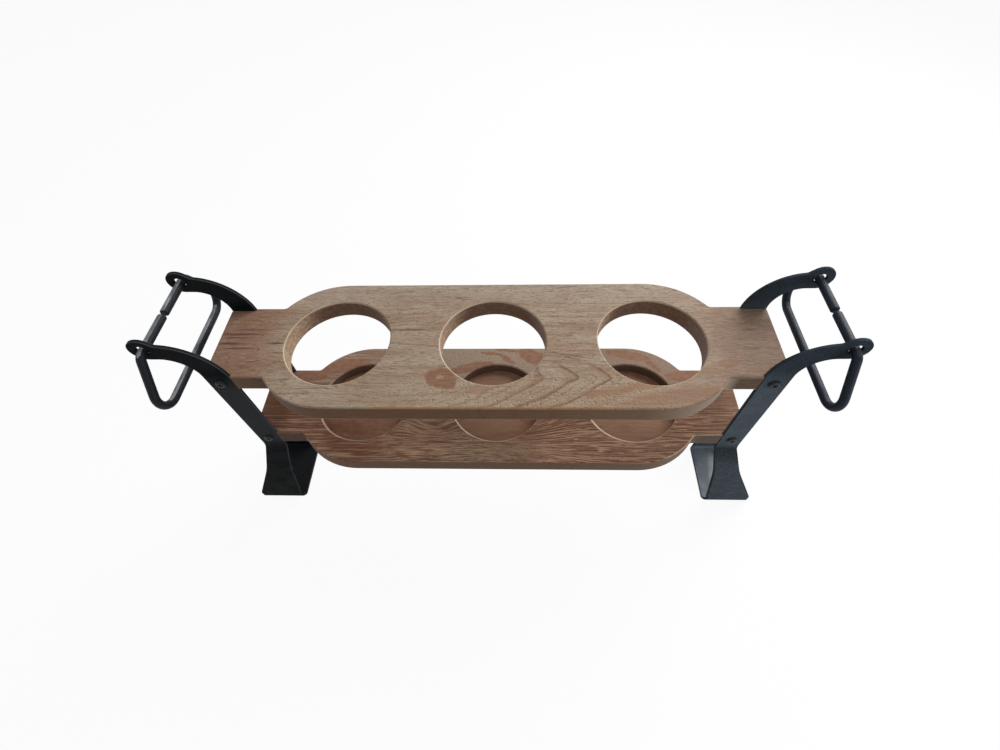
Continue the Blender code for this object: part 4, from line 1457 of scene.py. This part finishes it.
def turn_screw(bm):
    """Dome, shank and tip by one full spin, open at the flat on top, whose edges are returned."""
    edge = bm.verts.new((HEAD_RADIUS, 0, 0))
    draw_bend(bm, edge, HEAD_FLAT, 0, 90)
    bmesh.ops.scale(bm, verts=bm.verts, vec=(1, HEAD_HEIGHT / (HEAD_RADIUS - HEAD_FLAT), 1))
    pen = edge
    for radius, depth in ((SHANK_RADIUS, 0), (SHANK_RADIUS, SHANK_LENGTH), (TIP_RADIUS, SCREW_LENGTH),
                          (0, SCREW_LENGTH)):
        pen = draw_line(bm, pen, radius, -depth)
    bmesh.ops.rotate(bm, verts=bm.verts, matrix=Matrix.Rotation(math.radians(90), 3, "X"))
    bmesh.ops.spin(bm, geom=bm.edges[:], cent=(0, 0, 0), axis=(0, 0, 1), angle=math.radians(360),
                   steps=LATHE_STEPS, use_merge=True, use_duplicate=False)
    bmesh.ops.remove_doubles(bm, verts=bm.verts, dist=WELD)
    return [e for e in bm.edges if e.is_boundary]


trial = bmesh.new()
print("the flat on top of a head is bordered by", len(turn_screw(trial)), "edges")
trial.free()

# %% [markdown]
# The driver's recess is a cross: a grid of nine cells is laid on top, its four corner cells go, and the
# border of what is left is sunk. No two screws were driven to the same stop, so each cross is turned
# another way.

# %% Screws
CROSS_HALF_WIDTH = 0.0021
CORNER_CELLS_FROM = 0.0016        # the grid's corner cells lie further from its middle than this
CROSS_DEPTH = 0.0014
CROSS_TAPER = 0.7
HEAD_GAP = 0.0003                 # from an upright's face to the underside of a head


def sink_cross(bm, rim, turn):
    """Fills the flat on top and sinks a cross into it."""
    middle = Vector((0, 0, HEAD_HEIGHT))
    bmesh.ops.create_grid(bm, x_segments=3, y_segments=3, size=CROSS_HALF_WIDTH,
                          matrix=Matrix.Translation(middle) @ Matrix.Rotation(turn, 4, "Z"))
    grid = [f for f in bm.faces if all(abs(v.co.z - HEAD_HEIGHT) < WELD for v in f.verts)]
    corners = [f for f in grid if (f.calc_center_median() - middle).length > CORNER_CELLS_FROM]
    bmesh.ops.delete(bm, geom=corners, context="FACES")
    arms = [f for f in grid if f.is_valid]
    cross = [e for e in {e for f in arms for e in f.edges} if e.is_boundary]
    bmesh.ops.delete(bm, geom=arms, context="FACES_ONLY")
    bmesh.ops.delete(bm, geom=[e for e in bm.edges if e.is_wire and e not in cross], context="EDGES")
    bmesh.ops.triangle_fill(bm, use_beauty=True, use_dissolve=False, edges=rim + cross, normal=(0, 0, 1))
    bmesh.ops.edgeloop_fill(bm, edges=sink_ring(bm, cross, (0, 0, -CROSS_DEPTH), CROSS_TAPER))


def make_screw(place_name, x, face_side, height, turn):
    """A screw, laid level and pushed in from the front or the rear."""
    bm = bmesh.new()
    sink_cross(bm, turn_screw(bm), turn)
    stand = Matrix.Translation((x, face_side * (FRAME_FACE + HEAD_GAP), height))
    lay = Matrix.Rotation(math.radians(-90 * face_side), 4, "X")
    bmesh.ops.transform(bm, verts=bm.verts, matrix=stand @ lay)
    hand_over(f"domed_screw_{place_name}", bm, black_screw, "base", "black_screw", f"screw_{place_name}")


for side, side_name in ((-1, "left"), (1, "right")):
    for face_side, face_name in ((-1, "front"), (1, "rear")):
        for top, board_name in ((UPPER_BOARD_TOP, "upper"), (LOWER_BOARD_TOP, "lower")):
            turn = 0.35 + 0.6 * side + 0.4 * face_side + 7 * top
            make_screw(f"{side_name}_{face_name}_{board_name}", side * SCREW_X, face_side,
                       top - BOARD_THICKNESS / 2, turn)

# %% [markdown]
